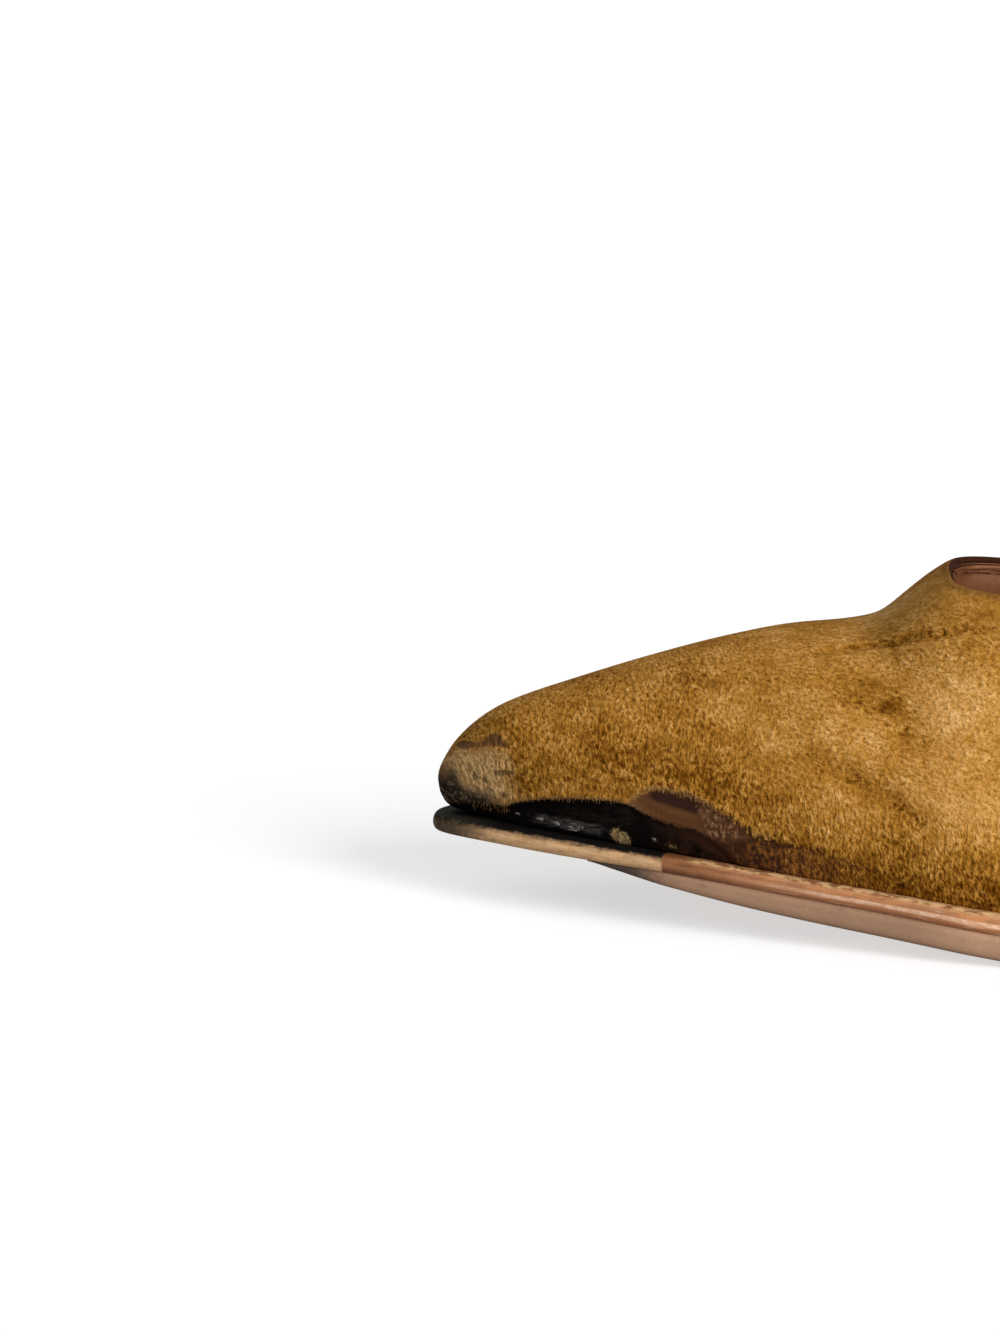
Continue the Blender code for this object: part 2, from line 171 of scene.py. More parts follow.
# %% [markdown]
# The last is the foot-shaped block that a shoe is made over. It could be sculpted, but a loft
# of half ovals keeps every size in a table. An angle runs over each section from the outer
# sole edge to the inner one. Working on whole arrays keeps thousands of points quick.

# %% The last as a function


def last_base(s, angle):
    """Points of the last at s and at an angle from the outer edge 0 to the inner edge pi."""
    s, angle = np.broadcast_arrays(np.asarray(s, float), np.asarray(angle, float))
    inset = along(MARGIN, 1, s)[..., None]
    out_normal, in_normal = edge_normal(-1, s), edge_normal(1, s)
    outer = edge_point(-1, s) - inset * out_normal
    inner = edge_point(1, s) - inset * in_normal
    ridge, power = along(LAST, 2, s), 2.0 / along(LAST, 3, s)
    across = np.abs(np.cos(angle)) ** power
    place = np.where(angle <= np.pi / 2, ridge * (1.0 - across), ridge + (1.0 - ridge) * across)
    high = along(LAST, 1, s) * np.maximum(0.0, np.sin(angle)) ** power
    swell = along(MARGIN, 2, s) * np.sin(np.pi * np.minimum(1.0, high / BULGE_TALL))
    half = (0.5 + 0.5 * np.cos(angle))[..., None]
    plan = outer + (inner - outer) * place[..., None]
    plan = plan + swell[..., None] * (half * out_normal + (1.0 - half) * in_normal)
    return np.concatenate((plan, (sole_top(plan[..., 0]) + GAP + high)[..., None]), -1)


print("last over the throat's front, mm:", round(float(last_base(THROAT_AT, np.pi / 2)[2]), 1))

# %% [markdown]
# The topline is the rim of the foot opening: a blunt curve across the throat and a line down
# each wing. Near it the leather is lifted into a soft collar. The lift depends on the distance
# to the topline, which a search tree of points along it gives quickly.

# %% Topline and collar
COLLAR_SAMPLES = 260


def topline_angle(side, s):
    """Angle of the topline, counted from the outer edge."""
    degrees = along(TOPLINE, 1 if side < 0 else 2, np.maximum(s, EDGE_ROW))
    return np.radians(degrees if side < 0 else 180.0 - degrees)


def throat_place(turn):
    """The throat's front curve as (s, angle); turn runs from -1 outer to +1 inner."""
    turn = np.asarray(turn, float)
    start, stop = topline_angle(-1, EDGE_ROW), topline_angle(1, EDGE_ROW)
    outer = np.maximum(0.0, (THROAT_APEX - turn) / (1.0 + THROAT_APEX)) ** THROAT_OUTER_BLUNT
    inner = np.maximum(0.0, (turn - THROAT_APEX) / (1.0 - THROAT_APEX)) ** THROAT_INNER_BLUNT
    angle = 0.5 * (start + stop) + 0.5 * (stop - start) * turn
    return THROAT_AT + THROAT_DEEP * (outer + inner), angle


def topline_places(count):
    """The whole topline as (s, angle), from the outer wing's end round to the inner one."""
    wing = np.linspace(WING_END, EDGE_ROW, count)
    front = throat_place(np.sin(np.linspace(-np.pi / 2, np.pi / 2, count)))
    s = np.concatenate((wing[:-1], front[0], wing[::-1][1:]))
    angle = np.concatenate((topline_angle(-1, wing)[:-1], front[1], topline_angle(1, wing[::-1])[1:]))
    return s, angle


def tree_of(points):
    """Search tree over a list of points."""
    tree = KDTree(len(points))
    for k, point in enumerate(points):
        tree.insert(point, k)
    tree.balance()
    return tree


def distances(tree, points):
    """Distance from each point to the nearest one in a tree."""
    flat = np.asarray(points).reshape(-1, 3)
    return np.array([tree.find(p)[2] for p in flat]).reshape(np.shape(points)[:-1])


COLLAR_TREE = tree_of(last_base(*topline_places(COLLAR_SAMPLES)))


def last_point(s, angle):
    """The upper's outside: the last with the collar lifted around the throat."""
    point = last_base(s, angle)
    near = 1.0 - distances(COLLAR_TREE, point) / COLLAR_REACH
    near = np.minimum(1.0, 0.5 * (near + np.hypot(near, COLLAR_KNEE)))
    fade = np.clip((COLLAR_FADE[1] - point[..., 0]) / (COLLAR_FADE[1] - COLLAR_FADE[0]), 0.0, 1.0)
    point[..., 2] += COLLAR_RISE * (1.0 - (1.0 - near) ** COLLAR_POWER) * fade
    return point


print("front of the throat, mm:", np.round(last_point(*throat_place(THROAT_APEX)), 1).tolist())

# %% [markdown]
# The camera stands beside the shoe and a little above it, as it did for the photo, with the
# frame rolled so that the toe tips up. It could be moved by eye until the outlines agree, but
# the scale and one known pixel, the sole's tip, fix its place at once.

# %% Camera
IMAGE_SIZE = (1000.0, 1333.0)
TIP_PIXEL = (433.0, 820.0)
TIP_POINT = (0.0, 6.35, 12.1)
PIXELS_PER_MM = 5.75
VIEW_FAR = 650.0
VIEW_RISE = math.radians(9.0)
VIEW_ROLL = math.radians(2.2)
SENSOR = 36.0

back = Vector((0.0, -math.cos(VIEW_RISE), math.sin(VIEW_RISE)))
level = Vector((1.0, 0.0, 0.0))
upright = back.cross(level)
right = level * math.cos(VIEW_ROLL) + upright * math.sin(VIEW_ROLL)
above = upright * math.cos(VIEW_ROLL) - level * math.sin(VIEW_ROLL)
aside = (TIP_PIXEL[0] - IMAGE_SIZE[0] / 2) / PIXELS_PER_MM
under = (IMAGE_SIZE[1] / 2 - TIP_PIXEL[1]) / PIXELS_PER_MM
aim = Vector(placed(TIP_POINT)) - (aside * right + under * above) * MM

camera_data = bpy.data.cameras.new("camera")
camera_data.sensor_width = SENSOR
camera_data.lens = PIXELS_PER_MM * VIEW_FAR / max(IMAGE_SIZE) * SENSOR
camera = bpy.data.objects.new("camera", camera_data)
turned = Matrix((right, above, back)).transposed().to_4x4()
camera.matrix_world = Matrix.Translation(aim + back * VIEW_FAR * MM) @ turned
bpy.context.scene.collection.objects.link(camera)
bpy.context.scene.camera = camera
print("lens in mm:", round(camera_data.lens, 1), "camera at", [round(v, 3) for v in camera.location])

# %% [markdown]
# A shader is easier to read as a sum than as a web of boxes. The class Wire holds one socket,
# and adding or multiplying wires adds the Math nodes. Three more methods make the soft steps
# and bands that most of the wear is drawn with.

# %% Wires


class Wire:
    """One output socket that can be used in Python sums."""

    def __init__(self, finish, socket):
        self.finish = finish
        self.socket = socket

    def sum_with(self, operation, first, second):
        """One Math node."""
        return self.finish.node("ShaderNodeMath", {"operation": operation}, {0: first, 1: second})

    def __add__(self, other):
        return self.sum_with("ADD", self, other)

    def __radd__(self, other):
        return self.sum_with("ADD", other, self)

    def __sub__(self, other):
        return self.sum_with("SUBTRACT", self, other)

    def __rsub__(self, other):
        return self.sum_with("SUBTRACT", other, self)

    def __mul__(self, other):
        return self.sum_with("MULTIPLY", self, other)

    def __rmul__(self, other):
        return self.sum_with("MULTIPLY", other, self)

    def between(self, low, high):
        """Smooth step from 0 at low to 1 at high."""
        kind = {"interpolation_type": "SMOOTHSTEP"}
        sockets = {"Value": self, "From Min": low, "From Max": high}
        return self.finish.node("ShaderNodeMapRange", kind, sockets)

    def near(self, place, reach):
        """Soft band: 1 at a place, 0 at a reach from it."""
        off = (self - place) * (1.0 / reach)
        return 1.0 - (off * off).between(0.0, 1.0)

    def inside(self, rise, fall):
        """1 between two soft steps, each given as its start and end."""
        return self.between(*rise) * (1.0 - self.between(*fall))


print("a wire can be added, subtracted, multiplied, stepped and banded")

# %% [markdown]
# The class Finish holds one material and makes every other kind of node with a single method:
# settings first, then the sockets. The short methods after it name the nodes used most.

# %% Finishes
# Numbers of the Mix node's colour sockets
MIX_FACTOR = 0
MIX_FIRST = 6
MIX_SECOND = 7
MIX_RESULT = 2


class Finish:
    """One material, built node by node."""

    def __init__(self, name, roughness, **constants):
        self.material = bpy.data.materials.new(name)
        self.material.use_nodes = True
        self.tree = self.material.node_tree
        self.shader = self.tree.nodes["Principled BSDF"]
        self.shader.inputs["Roughness"].default_value = roughness
        for socket, value in constants.items():
            self.shader.inputs[socket.replace("_", " ")].default_value = value

    def node(self, kind, settings=None, sockets=None, output=0):
        """Adds a node: its settings and ramp stops first, then its sockets' values or links."""
        made = self.tree.nodes.new(kind)
        settings = dict(settings or {})
        for k, (place, colour) in enumerate(settings.pop("stops", ())):
            elements = made.color_ramp.elements
            stop = elements[k] if k < len(elements) else elements.new(place)
            stop.position, stop.color = place, colour
        for name, value in settings.items():
            setattr(made, name, value)
        for name, value in (sockets or {}).items():
            if isinstance(value, Wire):
                self.tree.links.new(value.socket, made.inputs[name])
            else:
                made.inputs[name].default_value = value
        return Wire(self, made.outputs[output])

    def field(self, name):
        """A value stored on the mesh's points."""
        return self.node("ShaderNodeAttribute", {"attribute_name": name}, output="Fac")

    def own_place(self):
        """Place in the object's own space, in metres."""
        return self.node("ShaderNodeTexCoord", output="Object")

    def stretch(self, place, scale):
        """A place scaled along each axis."""
        return self.node("ShaderNodeMapping", None, {"Vector": place, "Scale": scale})

    def place(self, x, y, z=0.0):
        """A vector made of three values."""
        return self.node("ShaderNodeCombineXYZ", None, {"X": x, "Y": y, "Z": z})

    def noise(self, place, scale, detail=2.0, rough=0.5, twist=0.0):
        """Soft random value about 0.5."""
        sockets = {"Vector": place, "Scale": scale, "Detail": detail, "Roughness": rough,
                   "Distortion": twist}
        return self.node("ShaderNodeTexNoise", None, sockets)

    def mix(self, factor, first, second):
        """Mix of two colours."""
        sockets = {MIX_FACTOR: factor, MIX_FIRST: first, MIX_SECOND: second}
        return self.node("ShaderNodeMix", {"data_type": "RGBA"}, sockets, output=MIX_RESULT)

    def feed(self, socket, wire):
        """Links a wire to the shader."""
        self.tree.links.new(wire.socket, self.shader.inputs[socket])

    def bump(self, height, strength, deep):
        """Sends a height to the shader's normal."""
        sockets = {"Height": height, "Strength": strength, "Distance": deep}
        self.feed("Normal", self.node("ShaderNodeBump", None, sockets))


def tint(red, green, blue):
    """A colour as it shows on screen, 0 to 255, turned linear by the sRGB curve for the shader."""
    shown = np.array((red, green, blue)) / 255.0
    linear = np.where(shown <= 0.04045, shown / 12.92, ((shown + 0.055) / 1.055) ** 2.4)
    return (*linear.tolist(), 1.0)


print("a finish takes constants, fields, noise, mixes and bumps")

# %% [markdown]
# The suede and the lining under it are sheets: grids of points on the outside. A Solidify
# modifier could thicken them, but here the border is rounded too, and each new point has to
# know which point of the sheet it came from, so that it takes over the wear painted there.

# %% Thick sheets
RIM_TURNS = np.radians((45.0, 90.0, 135.0))


def sheet_normals(points, quads):
    """Normal of each point of a sheet."""
    a, b, c, d = (points[quads[:, k]] for k in range(4))
    face = np.cross(c - a, d - b)
    total = np.zeros_like(points)
    for k in range(4):
        np.add.at(total, quads[:, k], face)
    return total / np.maximum(TINY, np.linalg.norm(total, axis=1, keepdims=True))


def border_edges(quads):
    """Directed edges that belong to one face only."""
    edges = np.concatenate([quads[:, [k, (k + 1) % 4]] for k in range(4)])
    edges = edges[edges[:, 0] != edges[:, 1]]
    known = set(map(tuple, edges.tolist()))
    return np.array(sorted(edge for edge in known if (edge[1], edge[0]) not in known))


def thick_sheet(points, quads, top, bottom):
    """Closed body between two offsets of a sheet; returns points, faces, source index and depth."""
    normals = sheet_normals(points, quads)
    edges = border_edges(quads)
    run = points[edges[:, 1]] - points[edges[:, 0]]
    out = np.cross(run, normals[edges[:, 0]])
    away = np.zeros_like(points)
    np.add.at(away, edges[:, 0], out)
    np.add.at(away, edges[:, 1], out)
    away /= np.maximum(TINY, np.linalg.norm(away, axis=1, keepdims=True))
    half = 0.5 * (top - bottom)
    middle = points + normals * 0.5 * (top + bottom)
    rim = np.unique(edges)
    slot = np.full(len(points), -1)
    slot[rim] = np.arange(len(rim))
    layers = [points + normals * top]
    for turn in RIM_TURNS:
        bow = normals[rim] * math.cos(turn) + away[rim] * math.sin(turn)
        layers.append(middle[rim] + bow * half)
    layers.append(points + normals * bottom)
    starts = np.cumsum([0] + [len(layer) for layer in layers])
    faces = [tuple(dict.fromkeys(quad)) for quad in quads.tolist()]
    faces += [tuple(dict.fromkeys(starts[-2] + k for k in reversed(quad))) for quad in quads.tolist()]
    turns = range(1, len(RIM_TURNS) + 1)
    rings = [edges] + [starts[k] + slot[edges] for k in turns] + [starts[-2] + edges]
    for ring, after in zip(rings, rings[1:]):
        for (a, b), (c, d) in zip(ring.tolist(), after.tolist()):
            faces.append((b, a, c, d))
    whole = np.arange(len(points))
    source = np.concatenate([whole] + [rim] * len(RIM_TURNS) + [whole])
    depth = np.concatenate([np.full(len(layer), k / (len(layers) - 1)) for k, layer in enumerate(layers)])
    return np.concatenate(layers), faces, source, depth


print("the border of a sheet is rounded in", len(RIM_TURNS) + 1, "steps")

# %% [markdown]
# Every piece goes into the scene the same way: its mesh, the fields that its shader reads, its
# material, and then the body that it rides on and the solid that it stands for.

# %% Putting a piece in the scene


def add_piece(name, points, faces, finish, slot, fields=None, replaces=()):
    """Puts a mesh in the scene, on the shoe's only body."""
    mesh = bpy.data.meshes.new(name)
    mesh.from_pydata(placed(points).tolist(), [], faces)
    mesh.update()
    mesh.shade_smooth()
    for field, values in (fields or {}).items():
        data = mesh.attributes.new(field, "FLOAT", "POINT").data
        data.foreach_set("value", np.asarray(values, np.float32))
    mesh.materials.append(finish.material)
    piece = bpy.data.objects.new(name, mesh)
    bpy.context.scene.collection.objects.link(piece)
    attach(piece, "root")
    if replaces:
        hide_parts(*replaces)
    low, high = np.min(points, axis=0), np.max(points, axis=0)
    print(name, "points", len(points), "size in mm", np.round(high - low, 1).tolist())


print("every piece rides on the body root")

# %% [markdown]
# The upper's grid has columns that climb from the outer sole edge over the vamp to the inner
# one. The middle columns stop at the throat; the side columns run on into the two wings.
# Rows crowd together at the toe, columns at the sole's edge and at the topline, where the
# leather turns fastest and where most of the wear is.

# %% Grid of the upper
TOE_COUNT = 165
TOE_CROWD = 1.45
SIDE_COUNT = 72
SIDE_CROWD = 0.6
THROAT_COUNT = 37
WING_COUNT = 71


def step(value, low, high):
    """Smooth step from 0 at low to 1 at high."""
    u = np.clip((np.asarray(value, float) - low) / (high - low), 0.0, 1.0)
    return u * u * (3.0 - 2.0 * u)


def grid_quads(index):
    """Quads between the neighbours in a grid of point numbers."""
    corners = (index[:-1, :-1], index[1:, :-1], index[1:, 1:], index[:-1, 1:])
    return np.stack(corners, -1).reshape(-1, 4)


def upper_grid(toe_rows, wing_rows, side_parts, throat_turns):
    """Places (s, angle) and quads of a sheet over the vamp and both wings."""
    start, stop = topline_angle(-1, EDGE_ROW), topline_angle(1, EDGE_ROW)
    throat_s, throat_angle = throat_place(throat_turns)
    side = len(side_parts)
    angle = np.concatenate((start * side_parts, throat_angle, np.pi - (np.pi - stop) * side_parts[::-1]))
    end = np.concatenate((np.full(side, EDGE_ROW), throat_s, np.full(side, EDGE_ROW)))
    count = len(angle)
    rows = toe_rows[:, None]
    warped = WARP_FROM + (rows - WARP_FROM) * (end - WARP_FROM) / (EDGE_ROW - WARP_FROM)
    s = [np.where(rows > WARP_FROM, warped, rows)]
    angles = [np.broadcast_to(angle, s[0].shape)]
    index = np.arange(len(toe_rows) * count).reshape(len(toe_rows), count)
    index[0, :] = 0
    quads = [grid_quads(index)]
    total = len(toe_rows) * count
    for flank in (-1, 1):
        parts = np.append(side_parts, 1.0)
        line = topline_angle(flank, wing_rows)[:, None]
        wing = line * parts if flank < 0 else np.pi - (np.pi - line) * parts[::-1]
        s.append(np.broadcast_to(wing_rows[:, None], wing.shape))
        angles.append(wing)
        first = index[-1, :side + 1] if flank < 0 else index[-1, count - side - 1:]
        body = total + np.arange(wing.size).reshape(wing.shape)
        body = np.vstack((first, body))
        quads.append(grid_quads(body))
        total += wing.size
    s = np.concatenate([block.ravel() for block in s])
    angles = np.concatenate([block.ravel() for block in angles])
    return s, angles, np.concatenate(quads)


def dropped(points, quads, *values):
    """Leaves out points that no quad uses."""
    used = np.unique(quads)
    number = np.full(len(points), -1)
    number[used] = np.arange(len(used))
    return (points[used], number[quads], *[value[used] for value in values])


even = np.linspace(0.0, 1.0, SIDE_COUNT + 1)[:-1]
side_parts = (1.0 - SIDE_CROWD) * even + SIDE_CROWD * step(even, 0.0, 1.0)
throat_turns = np.sin(np.linspace(-np.pi / 2, np.pi / 2, THROAT_COUNT))
toe_rows = EDGE_ROW * np.linspace(0.0, 1.0, TOE_COUNT) ** TOE_CROWD
wing_rows = np.linspace(EDGE_ROW, WING_END, WING_COUNT + 1)[1:]

vamp_s, vamp_angle, vamp_quads = upper_grid(toe_rows, wing_rows, side_parts, throat_turns)
vamp_points = last_point(vamp_s, vamp_angle)
vamp_points, vamp_quads, vamp_s, vamp_angle = dropped(vamp_points, vamp_quads, vamp_s, vamp_angle)
print("vamp sheet:", len(vamp_points), "points", len(vamp_quads), "quads")

# %% [markdown]
# Wear and creases are placed with a tape measure: s behind the toe, and the girth g up from
# the sole edge over the leather. The girth is read from the last itself, section by section,
# so a crease stays where it was put, whatever the mesh.

# %% Girth over the leather
# Rows of the tape measure at the toe and behind it: s from, s to, how many
TOE_RIBS = (0.0, 6.0, 16)
OTHER_RIBS = (7.0, WING_END, 120)
RIB_POINTS = 91
BALL_AT = 90.0
GIRTH_S = np.concatenate((np.linspace(*TOE_RIBS), np.linspace(*OTHER_RIBS)))
GIRTH_ANGLE = np.linspace(0.0, np.pi, RIB_POINTS)
ribs = last_point(GIRTH_S[:, None], GIRTH_ANGLE[None, :])
rib_steps = np.linalg.norm(np.diff(ribs, axis=1), axis=2)
rib_girth = np.concatenate((np.zeros((len(GIRTH_S), 1)), np.cumsum(rib_steps, axis=1)), axis=1)


def girth(s, angle):
    """Distance over the leather from the outer sole edge, by bilinear reading of the ribs."""
    i = np.clip(np.searchsorted(GIRTH_S, s, side="right") - 1, 0, len(GIRTH_S) - 2)
    u = np.clip((s - GIRTH_S[i]) / (GIRTH_S[i + 1] - GIRTH_S[i]), 0.0, 1.0)
    at = np.clip(angle / GIRTH_ANGLE[1], 0.0, len(GIRTH_ANGLE) - 1.001)
    j = at.astype(int)
    v = at - j
    low = (1 - v) * rib_girth[i, j] + v * rib_girth[i, j + 1]
    high = (1 - v) * rib_girth[i + 1, j] + v * rib_girth[i + 1, j + 1]
    return (1 - u) * low + u * high


vamp_g = girth(vamp_s, vamp_angle)
vamp_g_in = girth(vamp_s, np.full_like(vamp_s, np.pi)) - vamp_g
outer_half = vamp_angle < np.pi / 2
print("girth over the ball, mm:", round(float(girth(np.array([BALL_AT]), np.array([np.pi]))[0]), 1))

# %% [markdown]
# Leather folds where the foot bends. The folds could be sculpted, but numbers are easier to move.
# Each crease below is a line of points with a depth; it becomes a soft trough with a low ridge
# beside it and a line of painted shade at its bottom. Blobs are dents and bulges. On the inner side,
# which bends the same way, the main crease is repeated softly.

# %% Creases, dents and bulges
FAR_OFF = 1e9
# Columns: s, girth, depth
COLLAR_CREASE = (
    (57, 40.8, 0.0), (61, 42.4, 0.15), (64, 44.0, 0.3), (68.5, 45.5, 0.5), (72.6, 47.0, 0.7),
    (76, 47.0, 1.0), (79, 47.8, 1.0), (83, 47.9, 0.8), (86.5, 49.0, 0.5), (91, 49.8, 0.5),
    (97, 50.2, 0.45), (105, 48.0, 0.3), (114, 44.0, 0.0))
BALL_CREASE = (
    (58, 22.0, 0.0), (60.6, 21.1, 0.3), (64, 19.5, 0.5), (68, 18.3, 0.6), (71, 16.5, 0.65),
    (74.4, 15.3, 0.65), (77.4, 13.4, 0.55), (80, 12.0, 0.3), (82, 10.5, 0.0))
LOW_CREASE = ((82, 24.0, 0.0), (90, 21.0, 0.25), (98, 17.5, 0.25), (106, 14.0, 0.0))
INNER_CREASE = ((64, 40.0, 0.0), (72, 41.0, 0.35), (80, 41.0, 0.5), (90, 40.0, 0.3), (104, 38.0, 0.0))
# Columns: s, girth, radius along, radius up, height
BULGES = (
    (73, 33.0, 6.0, 4.5, -0.4), (78, 28.0, 2.5, 3.5, -0.25), (88, 38.0, 13.0, 9.0, 0.7),
    (0.5, 6.5, 3.0, 4.0, 0.5), (66, 25.0, 9.0, 6.0, 0.25), (40, 22.0, 10.0, 7.0, -0.15),
    (96, 26.0, 8.0, 7.0, -0.25), (70, 64.0, 9.0, 14.0, -0.6))
# The ridge beside a trough, in widths of the trough, and both as shares of the depth
RIDGE_AWAY = 2.2
RIDGE_WIDE = 1.4
RIDGE_SHARE = 0.25
TROUGH_SHARE = 0.7
COLLAR_BESIDE = (80.0, 87.0)


def line_gap(s, g, route):
    """Distance to a line of points, its value there and the side of the line."""
    best = np.full(np.shape(s), FAR_OFF)
    value = np.zeros_like(best)
    side = np.zeros_like(best)
    for (s0, g0, d0), (s1, g1, d1) in zip(route, route[1:]):
        run = np.array((s1 - s0, g1 - g0), float)
        u = np.clip(((s - s0) * run[0] + (g - g0) * run[1]) / run.dot(run), 0.0, 1.0)
        gap = np.hypot(s - s0 - u * run[0], g - g0 - u * run[1])
        closer = gap < best
        best = np.where(closer, gap, best)
        value = np.where(closer, d0 + u * (d1 - d0), value)
        side = np.where(closer, np.sign(run[0] * (g - g0) - run[1] * (s - s0)), side)
    return best, value, side


def bell(gap, wide):
    """Soft hump: 1 in its middle and about a third at one width from it."""
    return np.exp(-(gap / wide) ** 2)


def trough(gap, deep, side, wide):
    """Height of a soft trough with a low ridge above it."""
    ridge = bell(gap - RIDGE_AWAY * wide, RIDGE_WIDE * wide) * (side > 0)
    return deep * (RIDGE_SHARE * ridge - TROUGH_SHARE * bell(gap, wide))


def blobs(s, g, rows):
    """Sum of soft ovals; the last column is each one's height."""
    total = np.zeros(np.shape(s))
    for s0, g0, rs, rg, height in rows:
        total += height * np.exp(-((s - s0) / rs) ** 2 - ((g - g0) / rg) ** 2)
    return total


vamp_lift = blobs(vamp_s, vamp_g, BULGES)
fold_gap = np.full_like(vamp_s, FAR_OFF)
crease_shade_deep = np.zeros_like(vamp_s)
# Columns: route, width of the trough, width of its line of painted shade in front of the collar and
# beside it, strength of that painted shade, girth that it is measured in
CREASES = ((COLLAR_CREASE, 0.75, 1.5, 1.0, 0.72, vamp_g), (BALL_CREASE, 1.8, 2.2, 2.2, 0.6, vamp_g),
           (LOW_CREASE, 2.0, 2.0, 2.0, 0.5, vamp_g), (INNER_CREASE, 1.5, 1.2, 1.2, 0.6, vamp_g_in))
for route, wide, dark_front, dark_beside, dark_share, up in CREASES:
    gap, deep, side = line_gap(vamp_s, up, route)
    vamp_lift += trough(gap, deep, side, wide)
    gap = gap / (dark_front + (dark_beside - dark_front) * step(vamp_s, *COLLAR_BESIDE))
    closer = gap < np.abs(fold_gap)
    fold_gap = np.where(closer, side * gap, fold_gap)
    crease_shade_deep = np.where(closer, deep * dark_share, crease_shade_deep)
print("deepest crease", round(float(vamp_lift.min()), 2), "mm,",
      "highest bulge", round(float(vamp_lift.max()), 2), "mm")

# %% [markdown]
# The toe has dragged on the ground. Along the sole the suede is gone down to a black layer,
# under a torn edge. Behind it hangs a smooth brown flap, and a dark stain trails off along the
# sole. The torn step, its lips, the flap's wrinkles and the drawn-in tip are real relief, so
# they catch the light from every side, and the colours come later from the same tables; the
# wrinkles' crests are painted paler too, as a painted highlight.

# %% Relief of the worn toe
# Columns: s, height of the black worn strip, height of the torn brown flap (girth in mm)
TORN = np.array((
    (0, 1.5, 0), (2, 1.8, 0), (5, 2.8, 0), (11, 2.9, 0), (13, 3.9, 0), (16, 4.9, 0), (21, 6.0, 0),
    (27, 6.9, 0), (30.6, 7.2, 6.0), (33, 6.8, 7.8), (35, 5.8, 9.1), (36.6, 5.3, 10.1),
    (39, 4.8, 10.3), (42.6, 4.5, 10.1), (45, 3.9, 9.1), (47, 2.6, 8.5), (49, 1.0, 7.8),
    (51, -0.8, 6.9), (54, -2.0, 5.6), (57.6, -2.5, 5.2), (63.6, -3.0, 4.9), (67, -3.0, 4.2),
    (73, -3.0, 3.0), (80, -3.0, 1.0), (248, -3.0, -3.0)))
# Columns: s, height of the worn strip on the inner side
TORN_INNER = np.array(((0, 1.5), (4, 2.0), (9, 1.6), (15, 0.6), (20, -1.0), (248, -3.0)))
# Columns: s, girth, height of the flap's wrinkles
FLAP_RIM = ((32.4, 7.4, 1.0), (34.2, 6.6, 1.0), (36.5, 5.7, 0.6), (39, 5.2, 0.2))
FLAP_FOLD = ((42.8, 9.4, 0.4), (44.2, 8.2, 1.0), (45.2, 7.0, 1.0), (46.8, 6.0, 0.7), (48.6, 5.2, 0.4))
FLAP_RIDGE = ((36.0, 8.0, 0.2), (38.5, 7.0, 0.6), (41.5, 6.6, 0.6), (44.0, 6.4, 0.3))
NO_FLAP = -5.0
TORN_DEEP = 0.8
TUCK_DEEP = 1.5
TUCK_HIGH = 2.8
FLAP_DEEP = 0.3
LIP_HIGH = 0.3
LIP_AT = -0.6
LIP_WIDE = 0.5
WRINKLE_HIGH = 0.25
WRINKLE_WIDE = 0.4
# Soft steps over a torn edge, in girth below it: from, to
TORN_STEP = (-0.15, 0.35)
FLAP_STEP = (-0.2, 0.4)
# Soft steps along s: from, to
TORN_FROM = (4.0, 10.0)
TUCK_TO = (3.0, 12.0)
LIP_RISE = (9.0, 14.0)
LIP_FALL = (31.0, 36.0)
FLAP_LIP_RISE = (33.0, 37.0)
FLAP_LIP_FALL = (46.0, 52.0)


def toe_tuck(s, g):
    """How far the worn bottom of the toe tip is drawn in."""
    return TUCK_DEEP * np.clip(1.0 - g / TUCK_HIGH, 0.0, 1.0) ** 2 * (1.0 - step(s, *TUCK_TO))


def lip(edge, rise, fall):
    """Raised lip just over a torn edge, between two soft steps along s."""
    return bell(edge - LIP_AT, LIP_WIDE) * step(vamp_s, *rise) * (1.0 - step(vamp_s, *fall))


worn = np.where(outer_half, np.interp(vamp_s, TORN[:, 0], TORN[:, 1]) - vamp_g,
                np.interp(vamp_s, TORN_INNER[:, 0], TORN_INNER[:, 1]) - vamp_g_in)
flap = np.where(outer_half, np.interp(vamp_s, TORN[:, 0], TORN[:, 2]) - vamp_g, NO_FLAP)
toe_g = np.where(outer_half, vamp_g, vamp_g_in)
torn_step = step(worn, *TORN_STEP) * step(vamp_s, *TORN_FROM)
vamp_lift -= TORN_DEEP * torn_step
vamp_lift -= toe_tuck(vamp_s, toe_g)
vamp_lift -= FLAP_DEEP * step(flap, *FLAP_STEP) * (1.0 - torn_step)
lips = lip(worn, LIP_RISE, LIP_FALL) + lip(flap, FLAP_LIP_RISE, FLAP_LIP_FALL)
vamp_lift += LIP_HIGH * lips * outer_half

wrinkle = np.zeros_like(vamp_s)
for route in (FLAP_RIM, FLAP_FOLD, FLAP_RIDGE):
    gap, height, _ = line_gap(vamp_s, vamp_g, route)
    wrinkle += height * bell(gap, WRINKLE_WIDE)
wrinkle *= outer_half
vamp_lift += WRINKLE_HIGH * wrinkle
print("worn strip reaches", round(float(vamp_s[worn > 0].max()), 1), "mm behind the toe tip")
